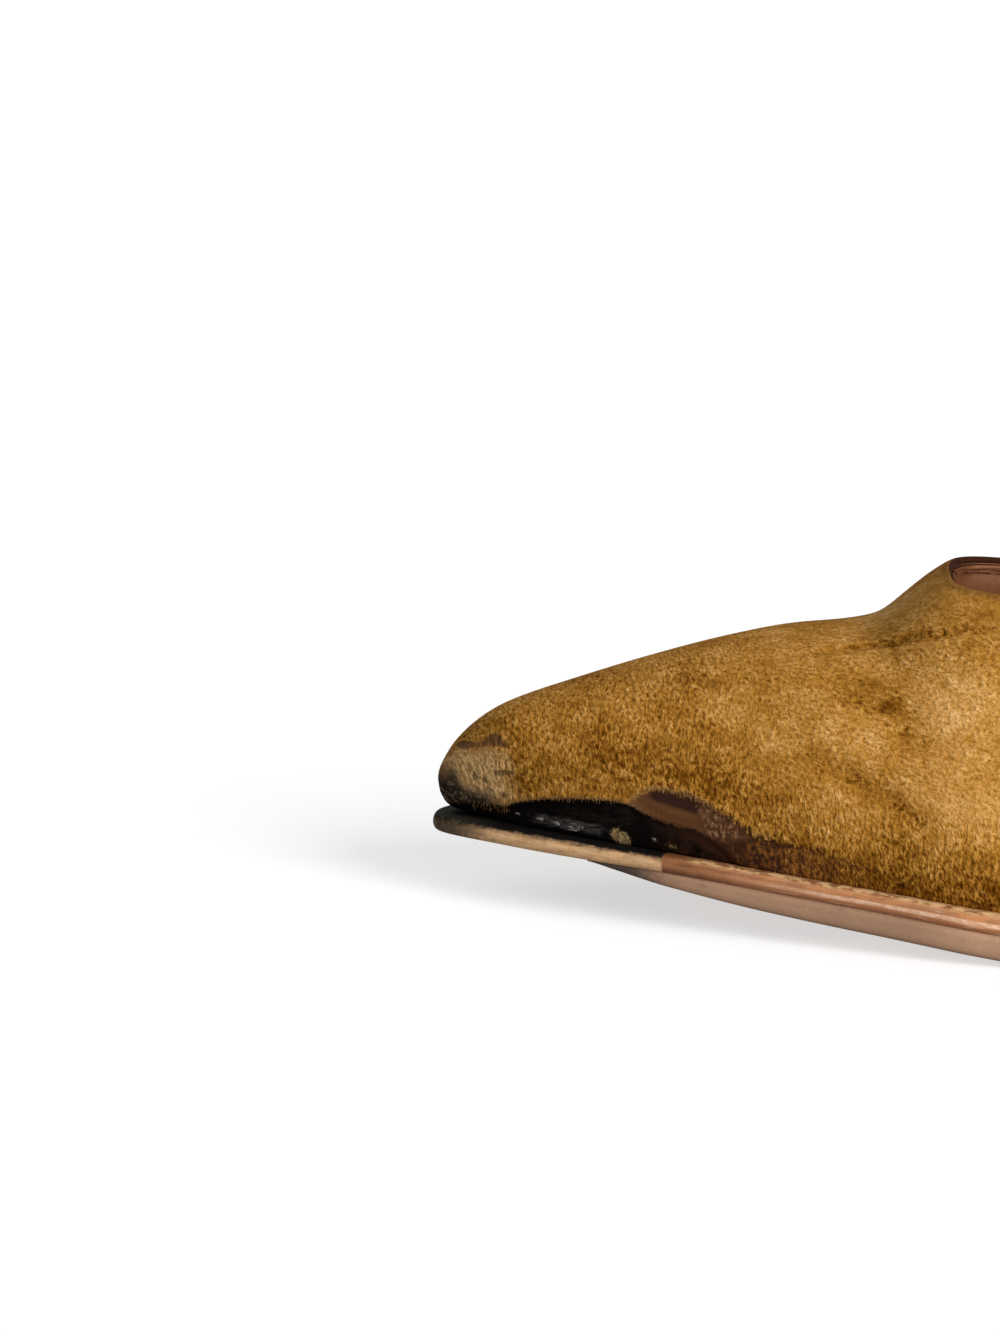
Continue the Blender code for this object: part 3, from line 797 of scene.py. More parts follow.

# %% [markdown]
# Stains, rubbed places and patches where the nap lies another way are soft ovals, and so are patches of
# painted light and shade. They could be painted on an image, but a short table of ovals needs no image and
# stays sharp at any size.
# Each kind of mark becomes one field on the mesh, and the shader frays its border.

# %% Spots and tones
# Columns of the tables below: s, girth, radius along, radius up, strength
FLAP_CORE = ((40.5, 8.9, 3.6, 1.2, 1.0), (37.5, 9.3, 1.8, 0.9, 0.7), (43.2, 8.0, 1.6, 1.0, 0.6))
DOTS = (
    (6.6, 7.4, 0.6, 0.8, 0.9), (8.4, 7.0, 0.6, 0.6, 0.9), (10.8, 8.6, 1.0, 0.6, 1.0),
    (12.2, 9.1, 0.9, 0.6, 0.9), (14.4, 9.0, 0.7, 0.5, 0.7), (11.4, 5.0, 0.7, 0.8, 0.8),
    (9.0, 5.6, 0.8, 0.6, 0.7))
MARKS = (
    (4.4, 13.0, 1.1, 1.1, 1.0), (5.7, 12.9, 1.0, 0.8, 0.9), (9.2, 14.2, 1.2, 1.0, 1.0),
    (10.2, 15.0, 0.9, 1.0, 1.0), (11.4, 13.8, 1.2, 0.7, 1.0), (7.6, 13.2, 1.4, 0.8, 0.6),
    (1.8, 10.5, 0.9, 0.6, 0.5))
TUFTS = (
    (30.2, 1.3, 1.1, 1.2, 1.1), (31.7, 0.5, 1.2, 1.1, 1.1), (36.7, 1.4, 0.5, 0.4, 0.7),
    (39.4, 0.9, 1.2, 0.7, 0.7))
SCUFFS = (
    (8.4, 9.0, 4.8, 3.8, 1.0), (3.4, 9.0, 2.4, 2.8, 0.8), (10.5, 5.4, 2.6, 1.8, 0.6),
    (6.0, 5.4, 2.6, 2.0, 0.7))
GRIME = (
    (0.2, 10.0, 1.6, 4.5, 0.5), (0.2, 3.0, 2.2, 3.6, 1.0), (2.6, 4.2, 1.7, 2.4, 0.9),
    (3.0, 7.2, 1.0, 1.8, 0.6), (6.4, 3.2, 4.2, 1.9, 1.25))
SMUDGE = (
    (71.5, 34.2, 5.0, 3.6, 0.3), (70.4, 37.2, 3.0, 0.9, 0.8), (73.8, 36.6, 2.0, 0.9, 0.8),
    (76.2, 34.6, 1.2, 1.6, 0.6), (67.8, 35.2, 1.4, 1.5, 0.5), (69.4, 32.2, 3.0, 0.8, 1.0),
    (74.6, 32.4, 2.2, 1.7, 0.9), (77.4, 28.4, 1.3, 2.4, 0.8))
# Painted light and shade: some rows lighten the right of the vamp and the collar's front slope, others
# darken the vamp low along the sole and along its top; the rest vary the suede's tone.
TONES_AND_LIGHT = (
    (36.0, 14.0, 20.0, 7.0, -0.17), (43.8, 33.0, 5.0, 2.2, -0.12), (38.0, 32.0, 16.0, 5.0, -0.05),
    (77.0, 60.0, 8.0, 9.0, 0.2), (93.0, 53.5, 10.0, 4.5, -0.13), (14.0, 20.0, 10.0, 8.0, -0.02),
    (14.5, 7.5, 3.5, 4.0, -0.1), (54.0, 12.0, 7.0, 4.5, -0.08), (88.0, 38.0, 13.0, 9.0, 0.08),
    (64.0, 12.5, 9.0, 4.0, 0.05), (56.0, 32.0, 14.0, 9.0, 0.05), (92.0, 24.0, 18.0, 15.0, 0.1),
    (92.0, 1.0, 42.0, 6.5, -0.28))
# Columns: s, girth, how much paler
PALE_LINE = (
    (80.5, 56.4, 0.0), (82.5, 55.5, 0.06), (85, 54.4, 0.08), (88, 53.8, 0.08), (96, 55.0, 0.05),
    (104, 53.0, 0.0))
PALE_WIDE = 0.6
SMUDGE_DARK = 0.19
TIP_FADE = (2.0, 9.0)
OUTER_SPOTS = {"core": FLAP_CORE, "dots": DOTS, "tuft": TUFTS, "mark": MARKS}
TIP_SPOTS = {"scuff": SCUFFS, "grime": GRIME}

inner_fade = np.where(outer_half, 1.0, 1.0 - step(vamp_s, *TIP_FADE))
spots = {name: blobs(vamp_s, vamp_g, rows) * outer_half for name, rows in OUTER_SPOTS.items()}
for name, rows in TIP_SPOTS.items():
    spots[name] = blobs(vamp_s, toe_g, rows) * inner_fade
# the tones, partly painted light and shade, are summed into one field
vamp_tone_and_light = blobs(vamp_s, toe_g, TONES_AND_LIGHT)
gap, height, _ = line_gap(vamp_s, vamp_g, PALE_LINE)
vamp_tone_and_light += height * bell(gap, PALE_WIDE) * outer_half
vamp_tone_and_light -= SMUDGE_DARK * blobs(vamp_s, vamp_g, SMUDGE) * outer_half
print("fields of spots:", ", ".join(spots))

# %% [markdown]
# Suede is the flesh side of the hide, brushed until short fibres stand up. The fibres lie in
# tufts that catch the light, with dark gaps between them, so the colour comes from stretched
# noise sent through a ramp. The tufts stand steep near the toe and along the sole and lie
# along the shoe on the vamp. The strap is cut from the same hide and shares this function.

# %% Nap of the suede
SUEDE_STOPS = ((0.0, tint(56, 26, 0)), (0.25, tint(114, 68, 8)), (0.5, tint(174, 120, 44)),
               (0.75, tint(208, 156, 86)), (1.0, tint(232, 188, 124)))
TUFT_THIN = 1.55
TUFT_LONG = 0.78
NAP_GAIN = 0.88
CREASE_SHADE_DARK = 0.62
NAP_MIDDLE = 0.525
SPECK_SHARE = 0.75
PATCH_GAIN = 0.4
CLOUD_GAIN = 0.5


def napped(finish, s, g, lying, calm, shift, crease_shade):
    """Colour and height of the nap; calm is its contrast, shift moves it lighter or darker, partly as
    painted light and shade, and crease_shade darkens it as painted shade in the creases.
    """
    steep = finish.noise(finish.place(s * TUFT_THIN, g * TUFT_LONG), 1.0, 2.0, 0.55, 0.4)
    flat = finish.noise(finish.place(s * TUFT_LONG, g * TUFT_THIN), 1.0, 2.0, 0.55, 0.5)
    spot = finish.place(s, g)
    speck = finish.noise(spot, 1.3, 2.0, 0.6, 0.3)
    cloud = finish.noise(spot, 0.1, 3.0, 0.55)
    patch = finish.noise(spot, 0.3, 2.0, 0.5)
    nap = steep + (flat - steep) * lying + (speck - 0.5) * SPECK_SHARE
    brushed = 0.55 + patch.between(0.35, 0.65) * 0.6
    tone = (nap - 0.5) * NAP_GAIN * calm * brushed + (cloud - 0.5) * CLOUD_GAIN
    broken = (1.1 - nap) * (0.3 + patch.between(0.4, 0.6) * 0.8)
    # painted shade: the nap's dark gaps are deepened along the creases
    tone = tone + (patch - 0.5) * PATCH_GAIN + shift + NAP_MIDDLE - broken * crease_shade * CREASE_SHADE_DARK
    return finish.node("ShaderNodeValToRGB", {"stops": SUEDE_STOPS}, {"Fac": tone}), nap


print("nap: tufts", round(0.5 / TUFT_THIN, 2), "by", round(0.5 / TUFT_LONG, 2), "mm")

# %% [markdown]
# The upper's finish is painted in the order in which the shoe lived. After the nap comes the
# rubbed toe: a pale scuff with dots, brown marks above it and grime round the tip. Each is a
# mask made of its field and some noise, and the mask mixes one more colour over the others.

# %% Rubbed toe
SCUFF_BEIGE = tint(226, 187, 128)
SCUFF_SHADE = tint(178, 139, 92)
DOT_BROWN = tint(74, 52, 30)
MARK_BROWN = tint(84, 56, 40)
GRIME_BLACK = tint(36, 32, 28)
GRIME_GREY = tint(122, 102, 80)


def rubbed_toe(suede, colour, nap, fine, mottle):
    """Pale scuff with dots, dark marks above it and grime round the tip."""
    scuffed = (suede.field("scuff") + (fine - 0.5) * 0.8 + (mottle - 0.5) * 0.9).between(0.08, 0.95)
    beige = suede.mix(nap.between(0.3, 0.7), SCUFF_SHADE, SCUFF_BEIGE)
    colour = suede.mix(scuffed * 0.8, colour, beige)
    dotted = (suede.field("dots") + (fine - 0.5) * 0.9).between(0.25, 0.7)
    colour = suede.mix(dotted * 0.7, colour, DOT_BROWN)
    marked = (suede.field("mark") + (fine - 0.5) * 0.7 + (nap - 0.5) * 0.7).between(0.3, 0.85)
    colour = suede.mix(marked * 0.78, colour, MARK_BROWN)
    dusty = (suede.field("grime") + (fine - 0.5) * 0.5).between(0.05, 0.6)
    colour = suede.mix(dusty * 0.55, colour, GRIME_GREY)
    grimy = (suede.field("grime") + (fine - 0.5) * 1.2 + (nap - 0.5) * 0.9).between(0.3, 1.1)
    soot = suede.mix((fine + (nap - 0.5) * 0.8).between(0.45, 0.75), GRIME_BLACK, GRIME_GREY)
    return suede.mix(grimy * 0.95, colour, soot)


print("rubbed toe:", len(SCUFFS), "scuffs,", len(DOTS), "dots,", len(MARKS), "marks")

# %% [markdown]
# Behind the black strip the suede has peeled into a smooth brown flap, which turns hairy and
# speckled and runs out in a stain. One mask follows the torn edge, sharp in front and
# frayed at the back, and the places along s say where one look gives way to the next.

# %% Torn flap and stain
FLAP_BROWN = tint(102, 65, 38)
FLAP_DARK = tint(58, 35, 27)
FLAP_PALE = tint(160, 122, 92)
STAIN_BROWN = tint(122, 73, 30)
STAIN_DARK = tint(61, 35, 22)
TORN_RIM = tint(190, 150, 100)
# Soft steps along s: from, to
FLAP_TAIL = (42.0, 47.0)
SPECKLE_FROM = (43.5, 47.0)
FLAP_FRAYS = (45.0, 52.0)
STAIN_PALES = (48.0, 66.0)
STAIN_FROM = (49.0, 54.0)
STAIN_ENDS = (54.0, 78.0)
PALE_RISE = (31.0, 34.0)
PALE_FALL = (44.0, 50.0)
# Soft step up from the sole, in girth
STAIN_LOW = (2.4, 5.0)


def torn_flap(suede, colour, s, g, edge, nap, fine, mottle):
    """Smooth brown flap, speckled towards its end, with the stain that follows it; and its mask."""
    skin = suede.mix((suede.field("core") + (mottle - 0.5) * 0.5).between(0.2, 0.8), FLAP_BROWN, FLAP_DARK)
    hairy = (1.0 - nap.between(0.38, 0.62)) * s.between(*FLAP_TAIL)
    skin = suede.mix(hairy * 0.55, skin, FLAP_DARK)
    speckle = (fine + (nap - 0.5) * 0.7).between(0.52, 0.68) * s.between(*SPECKLE_FROM)
    skin = suede.mix(speckle * 0.8, skin, FLAP_PALE)
    paler = mottle + (nap - 0.5) + s.between(*STAIN_PALES) * 0.35
    stain = suede.mix(paler.between(0.5, 0.9), STAIN_DARK, STAIN_BROWN)
    low = s.between(*FLAP_TAIL) * (1.0 - g.between(*STAIN_LOW))
    stained = (s + (nap - 0.5) * 8.0).between(*STAIN_FROM) + low
    skin = suede.mix(stained.between(0.0, 1.0), skin, stain)
    # painted highlight: the crests of the flap's wrinkles are painted paler
    skin = suede.mix(suede.field("wrinkle").between(0.3, 1.0) * 0.5, skin, FLAP_PALE)
    fade = 1.0 - (s + (mottle - 0.5) * 16.0 + (nap - 0.5) * 22.0).between(*STAIN_ENDS)
    soft = s.between(*FLAP_FRAYS)
    mask = (edge - (nap - 0.5) * soft * 7.0).between(-0.2, 0.35 + soft * 0.3) * fade
    pale = edge.between(-1.2, -0.2) * s.inside(PALE_RISE, PALE_FALL)
    colour = suede.mix(pale * 0.3, colour, TORN_RIM)
    return suede.mix(mask, colour, skin), mask


print("stain runs out between", *STAIN_ENDS, "mm behind the toe tip")

# %% [markdown]
# Under the torn edge a black layer lies bare. It isn't flat black: it greys where it is
# thin, browns towards the flap, and near the sole it holds a smear of old glue and some
# tufts of suede. A pale fringe of torn fibres runs along its upper border.

# %% Bare black layer
TORN_BLACK = tint(11, 6, 5)
TORN_CHARCOAL = tint(40, 34, 30)
TUFT_OLIVE = tint(184, 154, 104)
TUFT_SHADE = tint(108, 86, 56)
GLUE_GREY = tint(96, 92, 88)
# Soft steps along s: from, to
GLUE_RISE = (13.0, 18.0)
GLUE_FALL = (26.0, 31.0)
THIN_FROM = (18.0, 26.0)
BROWNED_FROM = (34.0, 46.0)
FRINGE_RISE = (9.0, 14.0)
FRINGE_FALL = (31.0, 35.0)
BLURRED_FROM = (43.0, 48.0)
# Girth of the glue's middle and its reach, and a soft step up from the sole
GLUE_UP = (1.5, 1.6)
THIN_UP = (2.0, 4.0)


def bare_layer(suede, colour, s, g, edge, mottle, ragged):
    """Black layer under the torn edge, with a smear of glue near the sole; and its mask."""
    smear = suede.noise(suede.place(s * 0.5, g * 1.6), 1.3, 4.0, 0.7)
    zone = g.near(*GLUE_UP) * s.inside(GLUE_RISE, GLUE_FALL)
    thin = (mottle + (smear - 0.5)).between(0.4, 0.75) * g.between(*THIN_UP) * s.between(*THIN_FROM)
    black = suede.mix(thin * 0.6, TORN_BLACK, TORN_CHARCOAL)
    deeper = (edge * -1.0).between(-3.0, 0.0)
    browned = (mottle + deeper * 0.4).between(0.3, 0.7) * s.between(*BROWNED_FROM)
    black = suede.mix(browned * 0.85, black, STAIN_DARK)
    black = suede.mix((smear + zone * 0.2).between(0.52, 0.82) * zone * 0.6, black, GLUE_GREY)
    tuft = (suede.field("tuft") + (ragged - 0.5) * 1.4).between(0.3, 0.9)
    wool = suede.mix(ragged.between(0.35, 0.65), TUFT_SHADE, TUFT_OLIVE)
    black = suede.mix(tuft * 0.85, black, wool)
    fringe = edge.between(-0.9, -0.15) * s.inside(FRINGE_RISE, FRINGE_FALL)
    colour = suede.mix(fringe * 0.28, colour, TORN_RIM)
    blurred = s.between(*BLURRED_FROM) * 0.9
    mask = edge.between(-0.12 - blurred, 0.22 + blurred)
    return suede.mix(mask, colour, black), mask


print("old glue lies between", GLUE_RISE[0], "and", GLUE_FALL[1], "mm behind the toe tip")

# %% [markdown]
# Now the upper is put together. The creases and the relief move the sheet along its normals,
# the sheet gets its thickness, every field is carried over to the new points, and the layers
# of paint above are stacked into one material. The cut edge round the opening is dyed dark.

# %% Suede upper
SUEDE_THICK = 1.2
RIM_SAMPLES = 400
FOLD_REACH = 9.0
FAR_RIM = np.radians((66.0, 76.0))
COLLAR_OLIVE_AND_SHADE = tint(150, 104, 42)
RIM_OLIVE = tint(106, 70, 30)
EDGE_DARK = tint(52, 27, 15)
# Soft steps along s, up from the sole and away from the topline: from, to
LYING_FROM = (40.0, 66.0)
LOOSE_FROM = (36.0, 45.0)
LYING_UP = (8.0, 22.0)
COLLAR_SMOOTH = (3.0, 12.0)
RIM_WORN = (0.2, 1.8)


def suede_finish():
    """Tan suede with its wear, driven by the fields on the upper."""
    suede = Finish("suede", 0.95, Specular_IOR_Level=0.06)
    s, g, rim = suede.field("along"), suede.field("girth"), suede.field("rim")
    spot = suede.place(s, g)
    fine = suede.noise(spot, 1.4, 2.0, 0.6)
    mottle = suede.noise(spot, 0.45, 2.0, 0.5)
    ragged = suede.noise(spot, 1.3, 3.0, 0.65)
    lying = s.between(*LYING_FROM) * g.between(*LYING_UP)
    smooth = 1.0 - rim.between(*COLLAR_SMOOTH)
    # painted shade along the bottom of each crease
    crease_shade = suede.field("fold_gap").near(0.0, 1.0) * suede.field("crease_shade_deep")
    calm = 1.1 - lying * 0.2
    # the field tone carries painted light and shade as well as the suede's uneven tone
    colour, nap = napped(suede, s, g, lying, calm, suede.field("tone"), crease_shade)
    # the collar near the topline is tinted olive: its smoother nap, and partly painted shade
    colour = suede.mix(smooth * 0.25, colour, COLLAR_OLIVE_AND_SHADE)
    colour = suede.mix((1.0 - rim.between(*RIM_WORN)) * 0.65, colour, RIM_OLIVE)
    colour = rubbed_toe(suede, colour, nap, fine, mottle)
    loose = s.between(*LOOSE_FROM) + 0.25
    frayed = (ragged - 0.5) + (mottle - 0.5) * loose * 1.6 + (nap - 0.5) * loose * 1.8
    flap_edge = suede.field("flap") + frayed * 1.4
    colour, flap_mask = torn_flap(suede, colour, s, g, flap_edge, nap, fine, mottle)
    torn_edge = suede.field("worn") + frayed * 1.1
    colour, torn_mask = bare_layer(suede, colour, s, g, torn_edge, mottle, ragged)
    rolled = suede.field("depth") + suede.field("far") * 0.27
    cut = rolled.between(0.3, 0.42) * suede.field("depth").between(0.0, 0.03)
    colour = suede.mix(cut, colour, EDGE_DARK)
    bare = (torn_mask + flap_mask).between(0.0, 1.0)
    suede.feed("Base Color", colour)
    suede.feed("Roughness", 0.95 - flap_mask * 0.35)
    suede.bump(nap * (1.0 - bare * 0.8) * (1.0 - smooth * 0.5), 0.9, 0.0005)
    return suede


TOPLINE_TREE = tree_of(last_point(*topline_places(RIM_SAMPLES)))
vamp_normals = sheet_normals(vamp_points, vamp_quads)
vamp_points = vamp_points + vamp_normals * vamp_lift[:, None]
points, faces, source, depth = thick_sheet(vamp_points, vamp_quads, 0.0, -SUEDE_THICK)
vamp_fields = {"along": vamp_s, "girth": toe_g, "tone": vamp_tone_and_light,
               "fold_gap": np.clip(fold_gap, -FOLD_REACH, FOLD_REACH), "crease_shade_deep": crease_shade_deep,
               "rim": distances(TOPLINE_TREE, vamp_points), "far": step(vamp_angle, *FAR_RIM),
               "worn": worn, "flap": flap, "wrinkle": wrinkle, **spots}
vamp_fields = {name: values[source] for name, values in vamp_fields.items()}
vamp_fields["depth"] = depth
add_piece("suede_upper", points, faces, suede_finish(), "suede", vamp_fields, ("upper",))

# %% [markdown]
# Inside, a smooth leather lining covers the suede's back. Along the topline it has a narrow
# dark facing with two low ridges, and a row of stitches just below. The lining is a second
# sheet from the same last, a little further in, with its columns crowded near the topline.

# %% Lining
LINING_BROWN = tint(180, 126, 92)
LINING_DARK = tint(126, 76, 46)
FACING_BROWN = tint(96, 54, 32)
FACING_PALE = tint(150, 98, 66)
LINING_TOP = 1.25
LINING_FACE = 2.0
FACING_RIDGES = (0.95, 1.85)
RIDGE_HIGH = 0.22
RIDGE_HALF = 0.3
# Rows and columns of the lining's grid, which are closest at the throat and along the topline
LINING_TOE = (0.0, 0.62, 34)
LINING_TOE_CROWD = 1.3
LINING_VAMP = (54.0, 90.0, 22)
LINING_THROAT = (90.0, EDGE_ROW, 26)
LINING_WING = (EDGE_ROW, WING_END, 46)
LINING_SIDE_COUNT = 41
LINING_SIDE_CROWD = 2.2
LINING_TURN_COUNT = 33
# Soft steps away from the topline: from, to
FACING_CUT = (0.6, 0.75)
FACING_END = (2.05, 2.25)
FACING_SHADE = (2.6, 7.5)

lining_rows = np.concatenate((EDGE_ROW * np.linspace(*LINING_TOE)[:-1] ** LINING_TOE_CROWD,
                              np.linspace(*LINING_VAMP)[:-1], np.linspace(*LINING_THROAT)))
lining_wing = np.linspace(*LINING_WING)[1:]
lining_parts = 1.0 - np.linspace(1.0, 0.0, LINING_SIDE_COUNT)[:-1] ** LINING_SIDE_CROWD
lining_turns = np.sin(np.linspace(-np.pi / 2, np.pi / 2, LINING_TURN_COUNT))
lining_s, lining_angle, lining_quads = upper_grid(lining_rows, lining_wing, lining_parts, lining_turns)
lining_points = last_point(lining_s, lining_angle)
lining_points, lining_quads, lining_s, lining_angle = dropped(
    lining_points, lining_quads, lining_s, lining_angle)
lining_rim = distances(TOPLINE_TREE, lining_points)
ridges = RIDGE_HIGH * sum(bell(lining_rim - at, RIDGE_HALF) for at in FACING_RIDGES)
lining_normals = sheet_normals(lining_points, lining_quads)
lining_g = girth(lining_s, lining_angle)
lining_g_in = girth(lining_s, np.full_like(lining_s, np.pi)) - lining_g
lining_tuck = toe_tuck(lining_s, np.minimum(lining_g, lining_g_in))
lining_points = lining_points - lining_normals * (ridges + lining_tuck)[:, None]
points, faces, source, _ = thick_sheet(lining_points, lining_quads, -LINING_TOP, -LINING_FACE)


def lining_finish():
    """Smooth lining leather with a dark facing along the topline and painted shade deeper inside the shoe.
    """
    lining = Finish("lining_leather", 0.55, Specular_IOR_Level=0.12)
    s, g, rim = lining.field("along"), lining.field("girth"), lining.field("rim")
    spot = lining.place(s, g)
    grain = lining.noise(spot, 1.8, 3.0, 0.6)
    cloud = lining.noise(spot, 0.12, 3.0, 0.5)
    colour = lining.mix((cloud + (grain - 0.5) * 0.3).between(0.25, 0.65), LINING_DARK, LINING_BROWN)
    # painted shade: the lining darkens away from the topline, deeper inside the shoe
    colour = lining.mix(rim.between(*FACING_SHADE) * 0.7, colour, LINING_DARK)
    colour = lining.mix(1.0 - rim.between(*FACING_END), colour, FACING_BROWN)
    for at in FACING_RIDGES:
        colour = lining.mix(rim.near(at, RIDGE_HALF) * 0.8, colour, FACING_PALE)
    colour = lining.mix(1.0 - rim.between(*FACING_CUT), colour, EDGE_DARK)
    lining.feed("Base Color", colour)
    lining.feed("Roughness", 0.5 + (grain - 0.5) * 0.3)
    lining.bump(grain, 0.35, 0.0002)
    return lining


lining_fields = {"along": lining_s, "girth": lining_g, "rim": lining_rim}
lining_fields = {name: values[source] for name, values in lining_fields.items()}
add_piece("lining", points, faces, lining_finish(), "sock_leather", lining_fields)

# %% [markdown]
# A shoe has small things that repeat, such as stitches, flakes and fibres. An array modifier
# could repeat them, but it can't turn each copy to its own place. So one shape is made once
# as points and faces, and turned copies of it are joined into a single mesh.

# %% Small shapes and their copies
RING_COUNT = 6
# Columns: place along the capsule, share of its radius
CAPSULE = ((-0.5, 0.45), (-0.38, 0.9), (0.0, 1.0), (0.38, 0.9), (0.5, 0.45))


def unit(vector):
    """Vector of length 1."""
    return vector / max(TINY, np.linalg.norm(vector))


def tube_ring(radius, count=RING_COUNT):
    """Points of a small circle across x."""
    turn = np.linspace(0.0, 2.0 * np.pi, count, endpoint=False)
    return np.stack((np.zeros(count), radius * np.cos(turn), radius * np.sin(turn)), -1)


def tube_faces(rings, count):
    """Faces of a closed tube of rings with capped ends."""
    faces = []
    for k in range(rings - 1):
        for n in range(count):
            after = (n + 1) % count
            faces.append((k * count + n, k * count + after, (k + 1) * count + after, (k + 1) * count + n))
    faces.append(tuple(range(count - 1, -1, -1)))
    faces.append(tuple(range((rings - 1) * count, rings * count)))
    return faces


def capsule(long, thick):
    """Rounded thread along x, as points and faces."""
    rings = [tube_ring(0.5 * thick * share) + (at * long, 0.0, 0.0) for at, share in CAPSULE]
    return np.concatenate(rings), tube_faces(len(rings), len(rings[0]))


def copies(shape, faces, frames):
    """Joins turned copies of one shape; a frame is (middle, x axis, y axis, z axis)."""
    points, joined = [], []
    for k, (middle, *axes) in enumerate(frames):
        points.append(middle + shape @ np.array(axes))
        joined += [tuple(k * len(shape) + n for n in face) for face in faces]
    return np.concatenate(points), joined


def speckled(name, roughness, scale, first, second):
    """Small finish of two colours mixed by noise in the object's own space."""
    finish = Finish(name, roughness)
    grain = finish.noise(finish.own_place(), scale)
    finish.feed("Base Color", finish.mix(grain.between(0.35, 0.65), first, second))
    return finish


print("a capsule has", len(CAPSULE), "rings of", RING_COUNT, "points")

# %% [markdown]
# The facing inside the throat is sewn down by a row of short rounded threads. Their places are
# walked off evenly along the topline, moved down over the lining and turned to lie flat on it,
# so the row stays true if the throat is changed.

# %% Stitches of the facing
STITCH_STEP = 2.3
STITCH_LONG = 1.6
STITCH_THICK = 0.36
STITCH_DOWN = 2.45
STITCH_SINK = 0.08
STITCH_END = 150.0
SEAM_SAMPLES = 300
LOOK_AHEAD = 0.3
THREAD_DARK = tint(70, 42, 28)
THREAD_BROWN = tint(118, 78, 54)


def run_along(points):
    """Distance of each point from the start of a line of points."""
    gaps = np.linalg.norm(np.diff(points, axis=0), axis=1)
    return np.concatenate(([0.0], np.cumsum(gaps)))


def walk(points, gap):
    """Evenly spaced places and directions along a line of points."""
    run = run_along(points)
    at = np.arange(0.5 * gap, run[-1], gap)
    places = np.stack([np.interp(at, run, points[:, k]) for k in range(3)], -1)
    ahead = np.stack([np.interp(at + LOOK_AHEAD, run, points[:, k]) for k in range(3)], -1) - places
    return places, ahead / np.maximum(TINY, np.linalg.norm(ahead, axis=1, keepdims=True))


inner_face = lining_points - lining_normals * LINING_FACE
inner_tree = tree_of(inner_face)
seam_s, seam_angle = topline_places(SEAM_SAMPLES)
places, directions = walk(last_point(seam_s, seam_angle)[seam_s < STITCH_END], STITCH_STEP)
frames = []
for place, ahead in zip(places, directions):
    _, nearest, _ = inner_tree.find(place - (0.0, 0.0, STITCH_DOWN * 0.5))
    down = np.cross(ahead, lining_normals[nearest])
    down *= -np.sign(down[2]) / max(TINY, np.linalg.norm(down))
    _, nearest, _ = inner_tree.find(place + down * STITCH_DOWN - lining_normals[nearest] * LINING_FACE)
    out = lining_normals[nearest]
    spot = place + down * STITCH_DOWN
    spot = spot + out * (np.dot(inner_face[nearest] - spot, out) - STITCH_SINK)
    side = unit(np.cross(out, ahead))
    frames.append((spot, np.cross(side, out), side, out))
thread = speckled("thread", 0.6, 900.0, THREAD_DARK, THREAD_BROWN)
add_piece("facing_stitches", *copies(*capsule(STITCH_LONG, STITCH_THICK), frames), thread, "sock_leather")

# %% [markdown]
# The sole is layered: a leather midsole with a rounded edge, a thin rubber outsole below it and
# a low lift under the heel. A layer could be an extruded outline, but the edges curve and
# the heights change along the shoe. So each layer is a loft of rings round the same outline,
# and each ring is an inset and a height that are functions of s.

# %% Layers of the sole
SOLE_COUNT = 480
SOLE_ROWS = LENGTH * 0.5 * (1.0 - np.cos(np.linspace(0.0, np.pi, SOLE_COUNT)))


def layer(rows, rings):
    """Closed loft; each ring is (inset, height) as functions of s. Returns points, faces, fields."""
    tip, heel = rows[0] <= 0.0, rows[-1] >= LENGTH
    inner = rows[::-1]
    inner = inner[1:] if heel else inner
    inner = inner[:-1] if tip else inner
    s = np.concatenate((rows, inner))
    side = np.concatenate((np.full(len(rows), -1), np.full(len(inner), 1)))
    count = len(s)
    points, faces = [], []
    for inset, height in rings:
        inward = inset(s)[:, None]
        outer_plan = edge_point(-1, s) - inward * edge_normal(-1, s)
        inner_plan = edge_point(1, s) - inward * edge_normal(1, s)
        plan = np.where((side < 0)[:, None], outer_plan, inner_plan)
        points.append(np.column_stack((plan, height(plan[:, 0]))))
    for ring in range(len(rings) - 1):
        low, high = ring * count, (ring + 1) * count
        faces += [(low + k, low + (k + 1) % count, high + (k + 1) % count, high + k) for k in range(count)]
    top = (len(rings) - 1) * count
    pairs = [(k, (count - k) % count if tip else count - 1 - k) for k in range(len(rows))]
    if heel:
        pairs[-1] = (len(rows) - 1, len(rows) - 1)
    for (a, b), (c, d) in zip(pairs, pairs[1:]):
        strip = tuple(dict.fromkeys((a, c, d, b)))
        faces.append(tuple(top + k for k in strip))
        faces.append(tuple(reversed(strip)))
    parts = np.repeat(np.arange(len(rings)) / (len(rings) - 1), count)
    fields = {"along": np.tile(s, len(rings)), "part": parts, "side": np.tile(side, len(rings))}
    return np.concatenate(points), faces, fields


def steady(value):
    """The same value at every s."""
    return lambda s: np.full(np.shape(s), value, float)


def share_of(low, high, share):
    """Height part way between two others."""
    return lambda s: low(s) + share * (high(s) - low(s))


print("rows of the sole:", len(SOLE_ROWS))

# %% [markdown]
# The midsole's edge is sanded half round, and walking has nicked its top rim all along. The
# nicks cut into the rings near the rim, by three waves that drift past each other, so they
# come at uneven distances without anything random.

# %% Shape of the midsole
EDGE_ROUND = 0.9
EDGE_TURNS = np.linspace(-np.pi / 2, np.pi / 2, 13)
LEDGE = 6.0
NICK_DEEP = 0.25
NICK_WAVE = (-0.4, 1.4)
NICKS_FROM = (38.0, 46.0)
NICKED_RIM = (0.55, 0.9)


